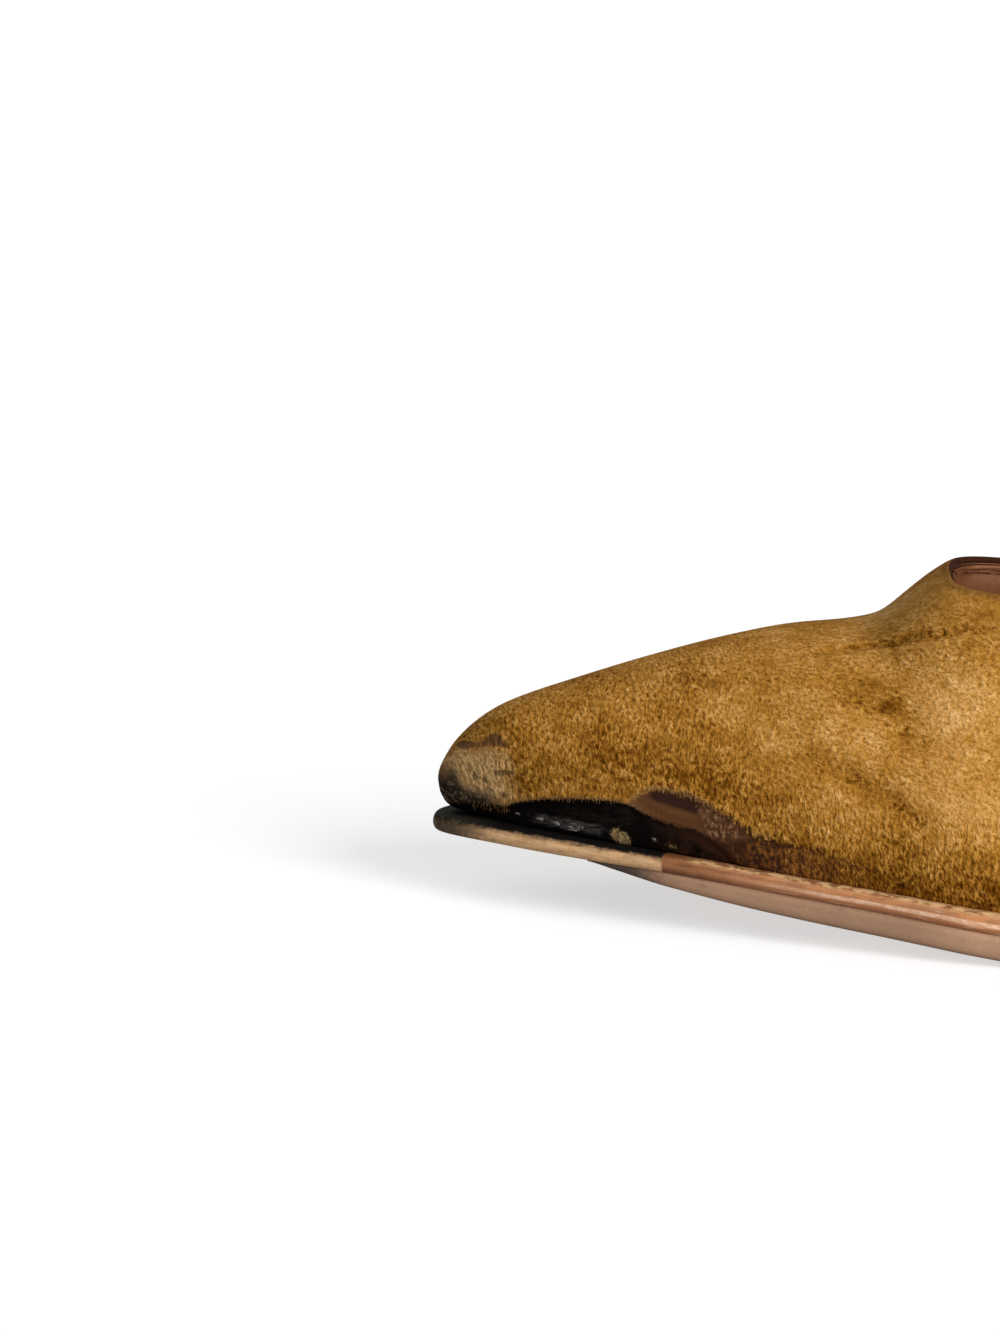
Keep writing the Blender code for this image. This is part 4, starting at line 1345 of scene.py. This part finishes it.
def nicks(s):
    """Where the rim's dye is chipped off, 0 to 1: three waves that drift past each other."""
    drift = 1.7 * np.sin(0.37 * s)
    wave = np.sin(1.31 * s + drift) + 0.8 * np.sin(0.53 * s + 2.0) + 0.5 * np.sin(2.9 * s)
    return step(wave, *NICK_WAVE) * step(s, *NICKS_FROM)


def nicked(inset, share):
    """Inset of a ring of the edge that the nicks cut into."""
    return lambda s: inset + share * NICK_DEEP * nicks(s)


def midsole_bottom(s):
    """Underside of the midsole."""
    return sole_top(s) - along(SOLE_SIDE, 2, s)


midsole_rings = [(steady(LEDGE), midsole_bottom)]
for turn in EDGE_TURNS:
    chipped = float(step(math.sin(turn), *NICKED_RIM))
    midsole_rings.append((nicked(EDGE_ROUND * (1.0 - math.cos(turn)), chipped),
                          share_of(midsole_bottom, sole_top, 0.5 + 0.5 * math.sin(turn))))
midsole_rings.append((steady(LEDGE), sole_top))
midsole_points, midsole_faces, midsole_fields = layer(SOLE_ROWS, midsole_rings)
midsole_fields["nick"] = nicks(midsole_fields["along"])
midsole_fields["ledge"] = (midsole_fields["part"] == 1.0) * (LEDGE - EDGE_ROUND)
print("midsole rings:", len(midsole_rings))

# %% [markdown]
# The finish of the edge tells its story along the shoe: grey dirt at the very tip, bare tan
# leather where the dye has gone, black along its top with dirt and painted shade under the upper,
# a sharp line, then the reddish dye, waxed, with a painted highlight along its roundest line,
# and chipped to raw leather on its rim. All of it is a function of s
# and of the height on the edge, so bands and dashes follow the sole.

# %% Midsole
BARE_TAN = tint(250, 202, 150)
BARE_SHADE = tint(214, 166, 118)
BARE_DIRT_AND_SHADE = tint(12, 9, 7)
DYE_RED = tint(184, 113, 70)
DYE_MID = tint(206, 140, 93)
DYE_PALE_AND_HIGHLIGHT = tint(255, 210, 176)
DYE_DARK = tint(96, 54, 26)
RAW_TAN = tint(226, 184, 130)
TIP_DIRT = tint(104, 94, 76)
TIP_DARK = tint(44, 40, 30)
UNDER_BROWN = tint(124, 100, 78)
UNDER_DARK = tint(84, 66, 52)
DYE_FROM = 38.8
DYE_LINE = 0.2
SIDE_APART = 40.0
# Soft steps along s: from, to
TIP_TO = (3.0, 12.0)
FRESH_TO = (41.0, 58.0)
STREAK_FROM = (40.0, 60.0)
HIGHLIGHT_FROM = (44.0, 76.0)
FOOT_TO = (62.0, 80.0)
CHIPS_FROM = (40.0, 46.0)
CHIPS_MORE = (56.0, 84.0)
RIM_TO = (110.0, 150.0)


def dyed_edge(edge, s, part, long, fine, dash):
    """Waxed red-brown dye with a painted highlight along its roundest line and a chipped rim; and the mask
    of the chips.
    """
    dyed = edge.mix(part.between(0.2, 0.5), DYE_RED, DYE_MID)
    dyed = edge.mix((long - 0.5).between(-0.05, 0.25) * 0.5, dyed, DYE_MID)
    fresh = 1.0 - (s + (fine - 0.5) * 10.0).between(*FRESH_TO)
    low = 1.0 - part.between(0.2, 0.5)
    dyed = edge.mix(fresh * (0.42 + low * 0.33), dyed, DYE_DARK)
    gap = part.near(0.6, 0.1) * long.between(0.42, 0.62)
    dyed = edge.mix(gap * 0.6, dyed, DYE_DARK)
    # painted highlight: a pale band along the roundest line of the edge
    painted_highlight = part.near(0.46, 0.08) * s.between(*HIGHLIGHT_FROM) * (0.35 + dash.between(0.35, 0.6) * 0.65)
    dyed = edge.mix(painted_highlight, dyed, DYE_PALE_AND_HIGHLIGHT)
    foot = part.near(0.1, 0.05) * (1.0 - s.between(*FOOT_TO))
    dyed = edge.mix(foot * 0.5, dyed, DYE_PALE_AND_HIGHLIGHT)
    streak = edge.mix(long.between(0.5, 0.75) * 0.5, dyed, DYE_PALE_AND_HIGHLIGHT)
    dyed = edge.mix(s.between(*STREAK_FROM), dyed, streak)
    rim = (part + (fine - 0.5) * 0.2 + (dash - 0.5) * 0.2).between(0.64, 0.8)
    rim = rim * (1.0 - s.between(*RIM_TO) * 0.7)
    dyed = edge.mix(rim * 0.75, dyed, DYE_DARK)
    brittle = dash + edge.field("nick") * 0.12 + s.between(*CHIPS_MORE) * 0.04
    chips = rim * brittle.between(0.46, 0.6) * s.between(*CHIPS_FROM)
    chips = chips * (1.0 - part.between(0.91, 0.97) * 0.8)
    return edge.mix(chips * 0.72, dyed, RAW_TAN), chips


def bare_edge(edge, s, part, long, fine, cloud, dash):
    """Leather without dye: tan below, black above with dirt and painted shade under the upper, grey at the
    tip.
    """
    bare = edge.mix((long + (fine - 0.5) * 0.5).between(0.3, 0.66), BARE_SHADE, BARE_TAN)
    # black along the top, partly dirt and partly painted shade under the upper
    bare = edge.mix((part + (dash - 0.5) * 0.3 + (fine - 0.5) * 0.08).between(0.52, 0.76), bare, BARE_DIRT_AND_SHADE)
    tip = 1.0 - (s + (fine - 0.5) * 8.0 + (cloud - 0.5) * 5.0).between(*TIP_TO)
    grey = edge.mix((fine + (part - 0.5) * 0.5).between(0.35, 0.65), TIP_DIRT, TIP_DARK)
    return edge.mix(tip * 0.9, bare, grey)


def edge_leather_finish():
    """Leather edge: bare at the toe, dyed and waxed behind it, chipped along the top."""
    edge = Finish("edge_leather", 0.5, Specular_IOR_Level=0.12, Coat_Roughness=0.28)
    s, part, ledge = edge.field("along"), edge.field("part"), edge.field("ledge")
    apart = edge.field("side") * SIDE_APART
    spot = edge.place(s, part * 3.0 + ledge, apart)
    long = edge.noise(edge.place(s * 0.22, part * 9.0, apart), 1.0, 4.0, 0.6)
    fine = edge.noise(spot, 1.6, 3.0, 0.6)
    cloud = edge.noise(spot, 0.09, 2.0, 0.5)
    dash = edge.noise(edge.place(s * 0.5, part * 6.0 + ledge, apart), 1.0, 3.0, 0.65)
    dyed, chips = dyed_edge(edge, s, part, long, fine, dash)
    switch = (s + (fine - 0.5) * 0.8).between(DYE_FROM - DYE_LINE, DYE_FROM + DYE_LINE)
    colour = edge.mix(switch, bare_edge(edge, s, part, long, fine, cloud, dash), dyed)
    under = 1.0 - part.between(0.04, 0.09)
    colour = edge.mix(under * 0.8, colour, edge.mix(fine, UNDER_DARK, UNDER_BROWN))
    wax = switch * (1.0 - chips)
    edge.feed("Base Color", colour)
    edge.feed("Roughness", 0.75 - wax * 0.4 + (fine - 0.5) * 0.2)
    edge.feed("Coat Weight", wax * 0.5)
    edge.bump(long * 0.5 + fine * 0.5 - chips * 0.4, 0.4, 0.0003)
    return edge


add_piece("edge_leather_midsole", midsole_points, midsole_faces, edge_leather_finish(), "sole_leather",
          midsole_fields, ("midsole",))

# %% [markdown]
# The outsole is a smooth grey-beige rubber sheet. Its front end is worn away to a feather
# edge with ground-in dirt, and its walking surface is scuffed where the foot presses. The heel
# lift is the same rubber in a darker brown, so one function makes both finishes.

# %% Outsole and heel lift
OUTSOLE_FROM = 26.0
SEAT = 0.02
FEATHER = 0.2
FEATHER_ROWS = (24.0, 31.0)
HEEL_FROM = 190.0
HEEL_ROW_GAP = 0.5
HEEL_TOP = 7.28
RUBBER_BEIGE = tint(200, 156, 124)
RUBBER_SHADE = tint(180, 140, 112)
RUBBER_DIRT = tint(84, 72, 66)
LIFT_BROWN = tint(92, 72, 56)
LIFT_SHADE = tint(66, 52, 42)
LIFT_DIRT = tint(44, 38, 34)
# Columns: inset, share of the layer's height
OUTSOLE_EDGE = ((8.0, 0.0), (2.1, 0.0), (1.5, 0.05), (1.15, 0.18), (1.0, 0.4), (0.85, 0.7), (0.8, 1.0))
LIFT_EDGE = ((8.0, 0.0), (2.2, 0.0), (1.5, 0.03), (1.2, 0.1), (1.05, 0.5), (1.0, 1.0))
# Scale of the noise along each axis, for drag marks underneath and scratches on the side
DRAG_SCALE = (60.0, 500.0, 60.0)
SCRATCH_SCALE = (300.0, 60.0, 900.0)
FRONT_DIRT = (33.0, 43.0)


def outsole_top(s):
    """Top of the outsole, pressed against the midsole."""
    return midsole_bottom(s) - SEAT


def outsole_bottom(s):
    """Walking surface of the outsole, worn to a feather edge in front."""
    thin = FEATHER + (1.0 - FEATHER) * step(s, *FEATHER_ROWS)
    return midsole_bottom(s) - along(SOLE_SIDE, 3, s) * thin


def rubber_finish(name, plain, shade, dirt_colour):
    """Matt rubber with ground-in dirt at its worn front, scuffs underneath and painted shade on its lower
    edge.
    """
    rubber = Finish(name, 0.62, Specular_IOR_Level=0.25)
    s, part = rubber.field("along"), rubber.field("part")
    where = rubber.own_place()
    cloud = rubber.noise(where, 60.0, 3.0, 0.5)
    speck = rubber.noise(where, 1400.0, 2.0, 0.6)
    drag = rubber.noise(rubber.stretch(where, DRAG_SCALE), 1.0, 4.0, 0.7)
    scratch = rubber.noise(rubber.stretch(where, SCRATCH_SCALE), 1.0, 2.0, 0.5)
    colour = rubber.mix((cloud + (speck - 0.5) * 0.3).between(0.25, 0.7), shade, plain)
    # painted shade: the lower edge and the underside, which face the ground, are mixed towards the darker
    # colour
    colour = rubber.mix((1.0 - part.between(0.3, 0.7)) * 0.5, colour, shade)
    colour = rubber.mix(scratch.between(0.66, 0.72) * 0.2, colour, dirt_colour)
    front = 1.0 - (s + (cloud - 0.5) * 12.0 + (speck - 0.5) * 6.0).between(*FRONT_DIRT)
    colour = rubber.mix(front * 0.95, colour, dirt_colour)
    under = 1.0 - part.between(0.02, 0.12)
    colour = rubber.mix(under * (drag + (cloud - 0.5) * 0.8).between(0.38, 0.72) * 0.8, colour, dirt_colour)
    rubber.feed("Base Color", colour)
    rubber.feed("Roughness", 0.6 + under * 0.2 + (speck - 0.5) * 0.2)
    rubber.bump(speck * 0.4 + drag * under, 0.3, 0.0003)
    return rubber


outsole_rings = [(steady(inset), share_of(outsole_bottom, outsole_top, share))
                 for inset, share in OUTSOLE_EDGE]
outsole = layer(SOLE_ROWS[SOLE_ROWS > OUTSOLE_FROM], outsole_rings)
outsole_rubber = rubber_finish("outsole_rubber", RUBBER_BEIGE, RUBBER_SHADE, RUBBER_DIRT)
add_piece("rubber_outsole", *outsole[:2], outsole_rubber, "sole_rubber", outsole[2], ("outsole",))

lift_rows = np.concatenate(([HEEL_FROM], SOLE_ROWS[SOLE_ROWS > HEEL_FROM + HEEL_ROW_GAP]))
lift = layer(lift_rows, [(steady(inset), steady(share * HEEL_TOP)) for inset, share in LIFT_EDGE])
lift_rubber = rubber_finish("heel_rubber", LIFT_BROWN, LIFT_SHADE, LIFT_DIRT)
add_piece("heel_lift_rubber", *lift[:2], lift_rubber, "heel_rubber", lift[2], ("heel_lift",))

# %% [markdown]
# The sock is a thin leather sheet glued on the midsole, where the foot has polished and
# darkened it. It shows behind the throat, most of all under the heel, and it is one more
# loft of rings, with its top drawn in so that its edge looks soft.

# %% Insole
# Columns: s, inset of the sock from the sole's edge
SOCK_PLAN = np.array(((0, 6.2), (12, 5.6), (30, 4.9), (150, 4.9), (176, 4.7), (190, 2.2), (248, 1.8)))
SOCK_THICK = 1.4
# Columns: more inset, height over the midsole
SOCK_EDGE = ((0.0, 0.05), (0.05, 0.9), (0.25, 1.3), (0.7, SOCK_THICK + 0.05), (6.0, SOCK_THICK + GAP))
SOCK_BROWN = tint(150, 100, 72)
SOCK_PALE = tint(180, 128, 96)
SOCK_EDGE_DARK = tint(96, 60, 42)
# Soft steps along s where the heel presses: from, to
PRESS_RISE = (188.0, 204.0)
PRESS_FALL = (228.0, 240.0)


def sock_inset(extra):
    """Inset of the sock's outline, with some more."""
    return lambda s: along(SOCK_PLAN, 1, s) + extra


def sock_height(rise):
    """Height over the midsole."""
    return lambda s: sole_top(s) + rise


def sock_finish():
    """Lining leather darkened where the foot rests."""
    sock = Finish("sock_leather", 0.75, Specular_IOR_Level=0.05)
    where = sock.own_place()
    grain = sock.noise(where, 1500.0, 3.0, 0.6)
    cloud = sock.noise(where, 45.0, 3.0, 0.5)
    s, part = sock.field("along"), sock.field("part")
    press = s.inside(PRESS_RISE, PRESS_FALL)
    colour = sock.mix((cloud + (grain - 0.5) * 0.4).between(0.3, 0.7), SOCK_BROWN, SOCK_PALE)
    colour = sock.mix(press * cloud.between(0.3, 0.6) * 0.4, colour, LINING_DARK)
    colour = sock.mix((1.0 - part.between(0.3, 0.7)) * 0.7, colour, SOCK_EDGE_DARK)
    sock.feed("Base Color", colour)
    sock.feed("Roughness", 0.75 + (grain - 0.5) * 0.3)
    sock.bump(grain, 0.3, 0.0002)
    return sock


sock = layer(SOLE_ROWS[::2], [(sock_inset(extra), sock_height(rise)) for extra, rise in SOCK_EDGE])
add_piece("sock", *sock[:2], sock_finish(), "sock_leather", sock[2], ("insole",))

# %% [markdown]
# The back strap leaves each wing from its inner face and runs round the heel. Its middle line
# could be a free curve, but it has to clear the wings by a fixed gap. So it is measured off
# the last at the wings, follows an oval round the heel, and a smooth curve joins the two.

# %% Line of the strap
STRAP_THICK = 2.2
STRAP_CLEAR = 1.9
STRAP_HEEL_FROM = 198.0
STRAP_BACK = 243.5
STRAP_HALF = 24.5
STRAP_LEAN = math.radians(14.0)
STRAP_SLOPE = 0.33
STRAP_CALM = 0.4
STRAP_BLUNT = 0.5
STRAP_WING_ROWS = (134.0, 142.0, 150.0)
STRAP_BRIDGE_PARTS = (0.25, 0.5, 0.75)
STRAP_HEEL_TURNS = np.radians((0.0, 15.0, 30.0, 45.0, 60.0, 75.0, 90.0))
STRAP_STEPS = 12
ANGLE_STEP = 0.02
HALVINGS = 40
# Columns: s, height of the strap's middle line
STRAP_RISE = np.array((
    (134, 24.5), (150, 29.5), (170, 37.0), (196, 46.5), (222, 53.0), (240, 57.0), (243.5, 57.3),
    (248, 57.3)))


def height_angle(side, s, height):
    """Angle on the last at which its surface reaches a height."""
    low, high = 0.0, np.pi / 2
    for _ in range(HALVINGS):
        middle = 0.5 * (low + high)
        if last_base(s, middle if side < 0 else np.pi - middle)[2] < height:
            low = middle
        else:
            high = middle
    return low if side < 0 else np.pi - low


def strap_half(side):
    """Middle line and width direction of one half of the strap, from wing to heel back."""
    line = []
    for s in STRAP_WING_ROWS:
        angle = height_angle(side, s, float(along(STRAP_RISE, 1, s)))
        turn = -side * ANGLE_STEP
        up = unit(last_base(s, angle + turn) - last_base(s, angle - turn))
        ahead = unit(last_base(s + 1.0, angle) - last_base(s - 1.0, angle))
        out = unit(np.cross(up, ahead))
        out = out if out[1] * side > 0.0 else -out
        line.append((last_base(s, angle) - out * (WALL + STRAP_CLEAR + STRAP_THICK / 2), up))
    heel = []
    for turn in STRAP_HEEL_TURNS:
        s = STRAP_HEEL_FROM + (STRAP_BACK - STRAP_HEEL_FROM) * math.sin(turn)
        point = np.array((s, side * STRAP_HALF * math.cos(turn), float(along(STRAP_RISE, 1, s))))
        out = unit(np.array((STRAP_BLUNT * math.sin(turn), side * math.cos(turn), 0.0)))
        heel.append((point, unit(np.array((0.0, 0.0, math.cos(STRAP_LEAN))) - out * math.sin(STRAP_LEAN))))
    start, stop = line[-1], heel[0]
    span = stop[0][0] - start[0][0]
    leave = (start[0] - line[-2][0]) * (span / (start[0][0] - line[-2][0][0]))
    leave[1] *= STRAP_CALM
    arrive = np.array((span, 0.0, span * STRAP_SLOPE))
    for u in STRAP_BRIDGE_PARTS:
        v = 1.0 - u
        point = (v * v * (1.0 + 2.0 * u) * start[0] + u * v * v * leave
                 + u * u * (3.0 - 2.0 * u) * stop[0] - u * u * v * arrive)
        line.append((point, unit(v * start[1] + u * stop[1])))
    return line + heel


def smooth_line(knots, parts):
    """Catmull-Rom curve through rows of numbers."""
    padded = np.vstack((knots[:1], knots, knots[-1:]))
    a, b, c, d = (padded[k:len(padded) - 3 + k] for k in range(4))
    made = []
    for u in np.linspace(0.0, 1.0, parts, endpoint=False):
        made.append(0.5 * (2.0 * b + (c - a) * u + (2.0 * a - 5.0 * b + 4.0 * c - d) * u * u
                           + (3.0 * b - a - 3.0 * c + d) * u ** 3))
    return np.vstack((np.stack(made, 1).reshape(-1, knots.shape[1]), knots[-1:]))


strap_knots = strap_half(-1) + strap_half(1)[::-1][1:]
strap_line = smooth_line(np.array([np.concatenate(knot) for knot in strap_knots]), STRAP_STEPS)
strap_mid, strap_up = strap_line[:, :3], strap_line[:, 3:]
strap_run = run_along(strap_mid)
print("strap length, mm:", round(float(strap_run[-1]), 1))

# %% [markdown]
# The strap itself is a flat oval with blunt edges, swept along that line. A curve with a bevel
# could sweep it, but its points wouldn't carry fields for the shader. Outside it is the same
# suede as the vamp, inside it is lining leather, and between them runs a dark cut edge.

# %% Sling strap
STRAP_WIDE = 12.0
STRAP_SECTION = 40
# Powers that blunt the oval, across the strap and through it
WIDE_POWER = 0.25
DEEP_POWER = 0.55
NAP_APART = 20.0

strap_ahead = np.gradient(strap_mid, axis=0)
strap_ahead /= np.linalg.norm(strap_ahead, axis=1, keepdims=True)
strap_up = strap_up - strap_ahead * np.sum(strap_up * strap_ahead, axis=1, keepdims=True)
strap_up /= np.linalg.norm(strap_up, axis=1, keepdims=True)
strap_out = np.cross(strap_ahead, strap_up)
strap_turn = np.linspace(0.0, 2.0 * np.pi, STRAP_SECTION, endpoint=False)
across, through = np.cos(strap_turn), np.sin(strap_turn)
strap_wide = 0.5 * STRAP_WIDE * np.sign(across) * np.abs(across) ** WIDE_POWER
strap_deep = 0.5 * STRAP_THICK * np.sign(through) * np.abs(through) ** DEEP_POWER
strap_points = (strap_mid[:, None] + strap_up[:, None] * strap_wide[None, :, None]
                + strap_out[:, None] * strap_deep[None, :, None]).reshape(-1, 3)
strap_faces = tube_faces(len(strap_mid), len(strap_turn))


def strap_finish():
    """Suede outside, lining leather inside, a dark cut edge between."""
    strap = Finish("strap_suede", 0.9, Specular_IOR_Level=0.12)
    s, g, face = strap.field("along"), strap.field("girth"), strap.field("face")
    colour, nap = napped(strap, s, g, 1.0, 1.0, 0.0, 0.0)
    cloud = strap.noise(strap.place(s, g), 0.15, 3.0, 0.5)
    outside = face.between(-0.05, 0.25)
    colour = strap.mix(outside, strap.mix(cloud.between(0.3, 0.7), LINING_DARK, LINING_BROWN), colour)
    colour = strap.mix(face.near(0.0, 0.2) * 0.8, colour, EDGE_DARK)
    strap.feed("Base Color", colour)
    strap.feed("Roughness", 0.55 + outside * 0.4)
    strap.bump(nap * outside, 0.8, 0.0005)
    return strap


strap_fields = {"along": np.repeat(strap_run, len(strap_turn)),
                "girth": np.tile(strap_wide, len(strap_mid)) + NAP_APART,
                "face": np.tile(strap_deep / (0.5 * STRAP_THICK), len(strap_mid))}
add_piece("suede_strap", strap_points, strap_faces, strap_finish(), "strap_suede", strap_fields,
          ("sling_strap",))

# %% [markdown]
# Old glue clings to the torn toe in grey flakes. They are too small for the sheet's mesh, so one
# chip is shaped once and scattered as copies. The random numbers come from a fixed seed, so
# the flakes lie in the same places every time.

# %% Glue flakes
GLUE_DARK = tint(48, 45, 43)
GLUE_PALE = tint(118, 113, 106)
SEED = 7
FLAKE_SIDES = 12
FLAKE_SHOULDER = 0.7
# Heights of the shoulder, the top and the bottom of a flake, before it is scaled
FLAKE_RISES = (0.4, 0.5, -0.2)
WIDEST_FLAKE = 0.45
FLAKE_TURN = 0.2
FLAKE_WIDE = (0.5, 0.9)
FLAKE_HIGH = (0.1, 0.2)
# Columns: s from, s to, girth from, girth to, how many, size from, size to
GLUE_PATCHES = (
    (13.2, 13.4, 1.6, 1.8, 1, 0.5, 0.6), (16.8, 18.2, 1.1, 1.6, 2, 0.5, 0.9),
    (19.5, 27.0, 0.6, 1.5, 7, 0.7, 1.6), (36.4, 36.8, 1.3, 1.5, 1, 0.4, 0.5))
rng = np.random.default_rng(SEED)


def on_vamp(s, g):
    """Number of the vamp's point nearest to a place (s, girth) on its outer side."""
    gaps = (vamp_s - s) ** 2 + (vamp_g - g) ** 2
    return int(np.argmin(np.where(outer_half, gaps, FAR_OFF)))


def flake_shape():
    """Flat irregular chip, as points and faces."""
    n = FLAKE_SIDES
    shoulder, top, bottom = ((0.0, 0.0, rise) for rise in FLAKE_RISES)
    turn = np.linspace(0.0, 2.0 * np.pi, n, endpoint=False)
    ring = np.stack((np.cos(turn), np.sin(turn), np.zeros(n)), -1)
    ring *= (1.0 + 0.12 * np.sin(3.0 * turn + 0.6))[:, None]
    points = np.vstack((ring, FLAKE_SHOULDER * ring + shoulder, [top], [bottom]))
    faces = []
    for k in range(n):
        after = (k + 1) % n
        faces += [(k, after, n + after, n + k), (n + k, n + after, 2 * n), (after, k, 2 * n + 1)]
    return points, faces


def flake_frame(number, turn, long, wide, high):
    """Axes of a flake on the vamp at one of its points, scaled."""
    normal = vamp_normals[number]
    first = unit(np.cross(normal, (0.0, 0.0, 1.0)))
    ahead = first * math.cos(turn) + np.cross(normal, first) * math.sin(turn)
    return vamp_points[number], ahead * long, np.cross(normal, ahead) * wide, normal * high


frames = []
for s0, s1, g0, g1, many, small, large in GLUE_PATCHES:
    for _ in range(many):
        number = on_vamp(rng.uniform(s0, s1), rng.uniform(g0, g1))
        long = rng.uniform(small, large)
        wide = min(long, WIDEST_FLAKE) * rng.uniform(*FLAKE_WIDE)
        turn = rng.normal(0.0, FLAKE_TURN)
        frames.append(flake_frame(number, turn, long, wide, rng.uniform(*FLAKE_HIGH)))
glue = speckled("old_glue", 0.5, 900.0, GLUE_DARK, GLUE_PALE)
add_piece("glue_flakes", *copies(*flake_shape(), frames), glue, "suede")

# %% [markdown]
# Along the torn edge single fibres have come loose and hang down over the black layer. A hair
# system could grow them, but it isn't a mesh, so it couldn't be exported with the shoe. They
# are thin bent tubes instead, scattered like the flakes.

# %% Loose fibres
FIBRE_DARK = tint(104, 70, 34)
FIBRE_PALE = tint(168, 126, 74)
FIBRE_SIDES = 3
FIBRE_THICK = (0.025, 0.05)
FIBRE_SPREAD = 0.35
FIBRE_STAND = (-0.1, 0.35)
FIBRE_BEND = 0.35
# Columns: s from, s to, girth over the torn edge from, to, how many, lean down, length from, to
FIBRE_PATCHES = ((8.0, 50.0, 0.1, 0.7, 300, -1.0, 0.3, 0.8), (5.0, 12.0, -1.2, 0.4, 60, -1.0, 0.4, 0.9))
# Columns: place along the fibre, its bend, share of its radius
FIBRE = ((0.0, 0.0, 1.0), (0.35, 0.06, 0.8), (0.7, 0.2, 0.5), (1.0, 0.42, 0.12))


def fibre_shape():
    """Bent, tapering fibre along x."""
    rings = [tube_ring(radius, FIBRE_SIDES) + (x, 0.0, z) for x, z, radius in FIBRE]
    return np.concatenate(rings), tube_faces(len(rings), FIBRE_SIDES)


def fibre_frame(number, down, long, thick):
    """Axes of a fibre that leans down over the torn edge."""
    normal = vamp_normals[number]
    fall = np.array((rng.normal(0.0, FIBRE_SPREAD), 0.0, down))
    ahead = unit(fall - normal * fall.dot(normal) + normal * rng.uniform(*FIBRE_STAND))
    side = unit(np.cross(normal, ahead))
    deep = max(thick, FIBRE_BEND * long * thick)
    return vamp_points[number], ahead * long, side * thick, np.cross(ahead, side) * deep


frames = []
torn_height = np.maximum(TORN[:, 1], TORN[:, 2])
for s0, s1, g0, g1, many, down, short, tall in FIBRE_PATCHES:
    for _ in range(many):
        s = rng.uniform(s0, s1)
        edge = float(np.interp(s, TORN[:, 0], torn_height))
        number = on_vamp(s, edge + rng.uniform(g0, g1))
        frames.append(fibre_frame(number, down, rng.uniform(short, tall), rng.uniform(*FIBRE_THICK)))
fibre = speckled("loose_fibre", 0.9, 500.0, FIBRE_DARK, FIBRE_PALE)
add_piece("loose_fibres", *copies(*fibre_shape(), frames), fibre, "suede")

# %% [markdown]
# A pale studio: a floor that sweeps up into a wall all round, so no view meets a hard
# horizon, a broad soft light from the right of the camera, a weak one from behind and an
# even glow. The floor glows a little and sends no light back up, so it stays near white
# while the shoe keeps its own shading.

# %% Studio
FLOOR_FLAT = 1.9
FLOOR_WIDE = 3.4
FLOOR_TALL = 2.6
FLOOR_RINGS = (0.0, 0.5, 1.2)
FLOOR_SIDES = 64
SWEEP_COUNT = 10
FLOOR_WHITE = (0.56, 0.56, 0.56, 1.0)
FLOOR_GLOW = 0.6
GLOW = 0.25
# Columns: azimuth from the camera to the right, elevation (degrees), strength, width (degrees)
SUNS = {"key": (47.0, 22.0, 4.1, 45.0), "rear": (200.0, 40.0, 0.4, 60.0)}


def studio_floor():
    """Round floor with a swept-up rim."""
    sweep = np.linspace(0.0, np.pi / 2, SWEEP_COUNT)
    bend = FLOOR_WIDE - FLOOR_FLAT
    radius = np.concatenate((FLOOR_RINGS, FLOOR_FLAT + bend * np.sin(sweep), [FLOOR_WIDE]))
    height = np.concatenate((np.zeros(len(FLOOR_RINGS)), bend * (1.0 - np.cos(sweep)), [FLOOR_TALL]))
    turn = np.linspace(0.0, 2.0 * np.pi, FLOOR_SIDES, endpoint=False)
    points = [(r * math.cos(a), r * math.sin(a), h) for r, h in zip(radius, height) for a in turn]
    faces = tube_faces(len(radius), FLOOR_SIDES)[:-2]
    mesh = bpy.data.meshes.new("floor")
    mesh.from_pydata(points, [], faces)
    mesh.shade_smooth()
    paper = Finish("floor_paper", 0.9, Specular_IOR_Level=0.1, Base_Color=FLOOR_WHITE,
                   Emission_Color=(1.0, 1.0, 1.0, 1.0), Emission_Strength=FLOOR_GLOW)
    mesh.materials.append(paper.material)
    floor = bpy.data.objects.new("floor", mesh)
    floor.visible_diffuse = False
    floor.visible_glossy = False
    floor.visible_shadow = False
    bpy.context.scene.collection.objects.link(floor)


def soft_sun(name, azimuth, elevation, strength, width):
    """Distant light with a wide disc."""
    data = bpy.data.lights.new(name, "SUN")
    data.energy = strength
    data.angle = math.radians(width)
    light = bpy.data.objects.new(name, data)
    a, e = math.radians(azimuth), math.radians(elevation)
    towards = Vector((math.sin(a) * math.cos(e), -math.cos(a) * math.cos(e), math.sin(e)))
    light.rotation_euler = (-towards).to_track_quat("-Z", "Y").to_euler()
    bpy.context.scene.collection.objects.link(light)


studio_floor()
for name, row in SUNS.items():
    soft_sun(name, *row)
world = bpy.data.worlds.new("studio")
world.use_nodes = True
world.node_tree.nodes["Background"].inputs["Color"].default_value = (1.0, 1.0, 1.0, 1.0)
world.node_tree.nodes["Background"].inputs["Strength"].default_value = GLOW
bpy.context.scene.world = world
bpy.context.scene.view_settings.view_transform = "Standard"
print("studio ready")
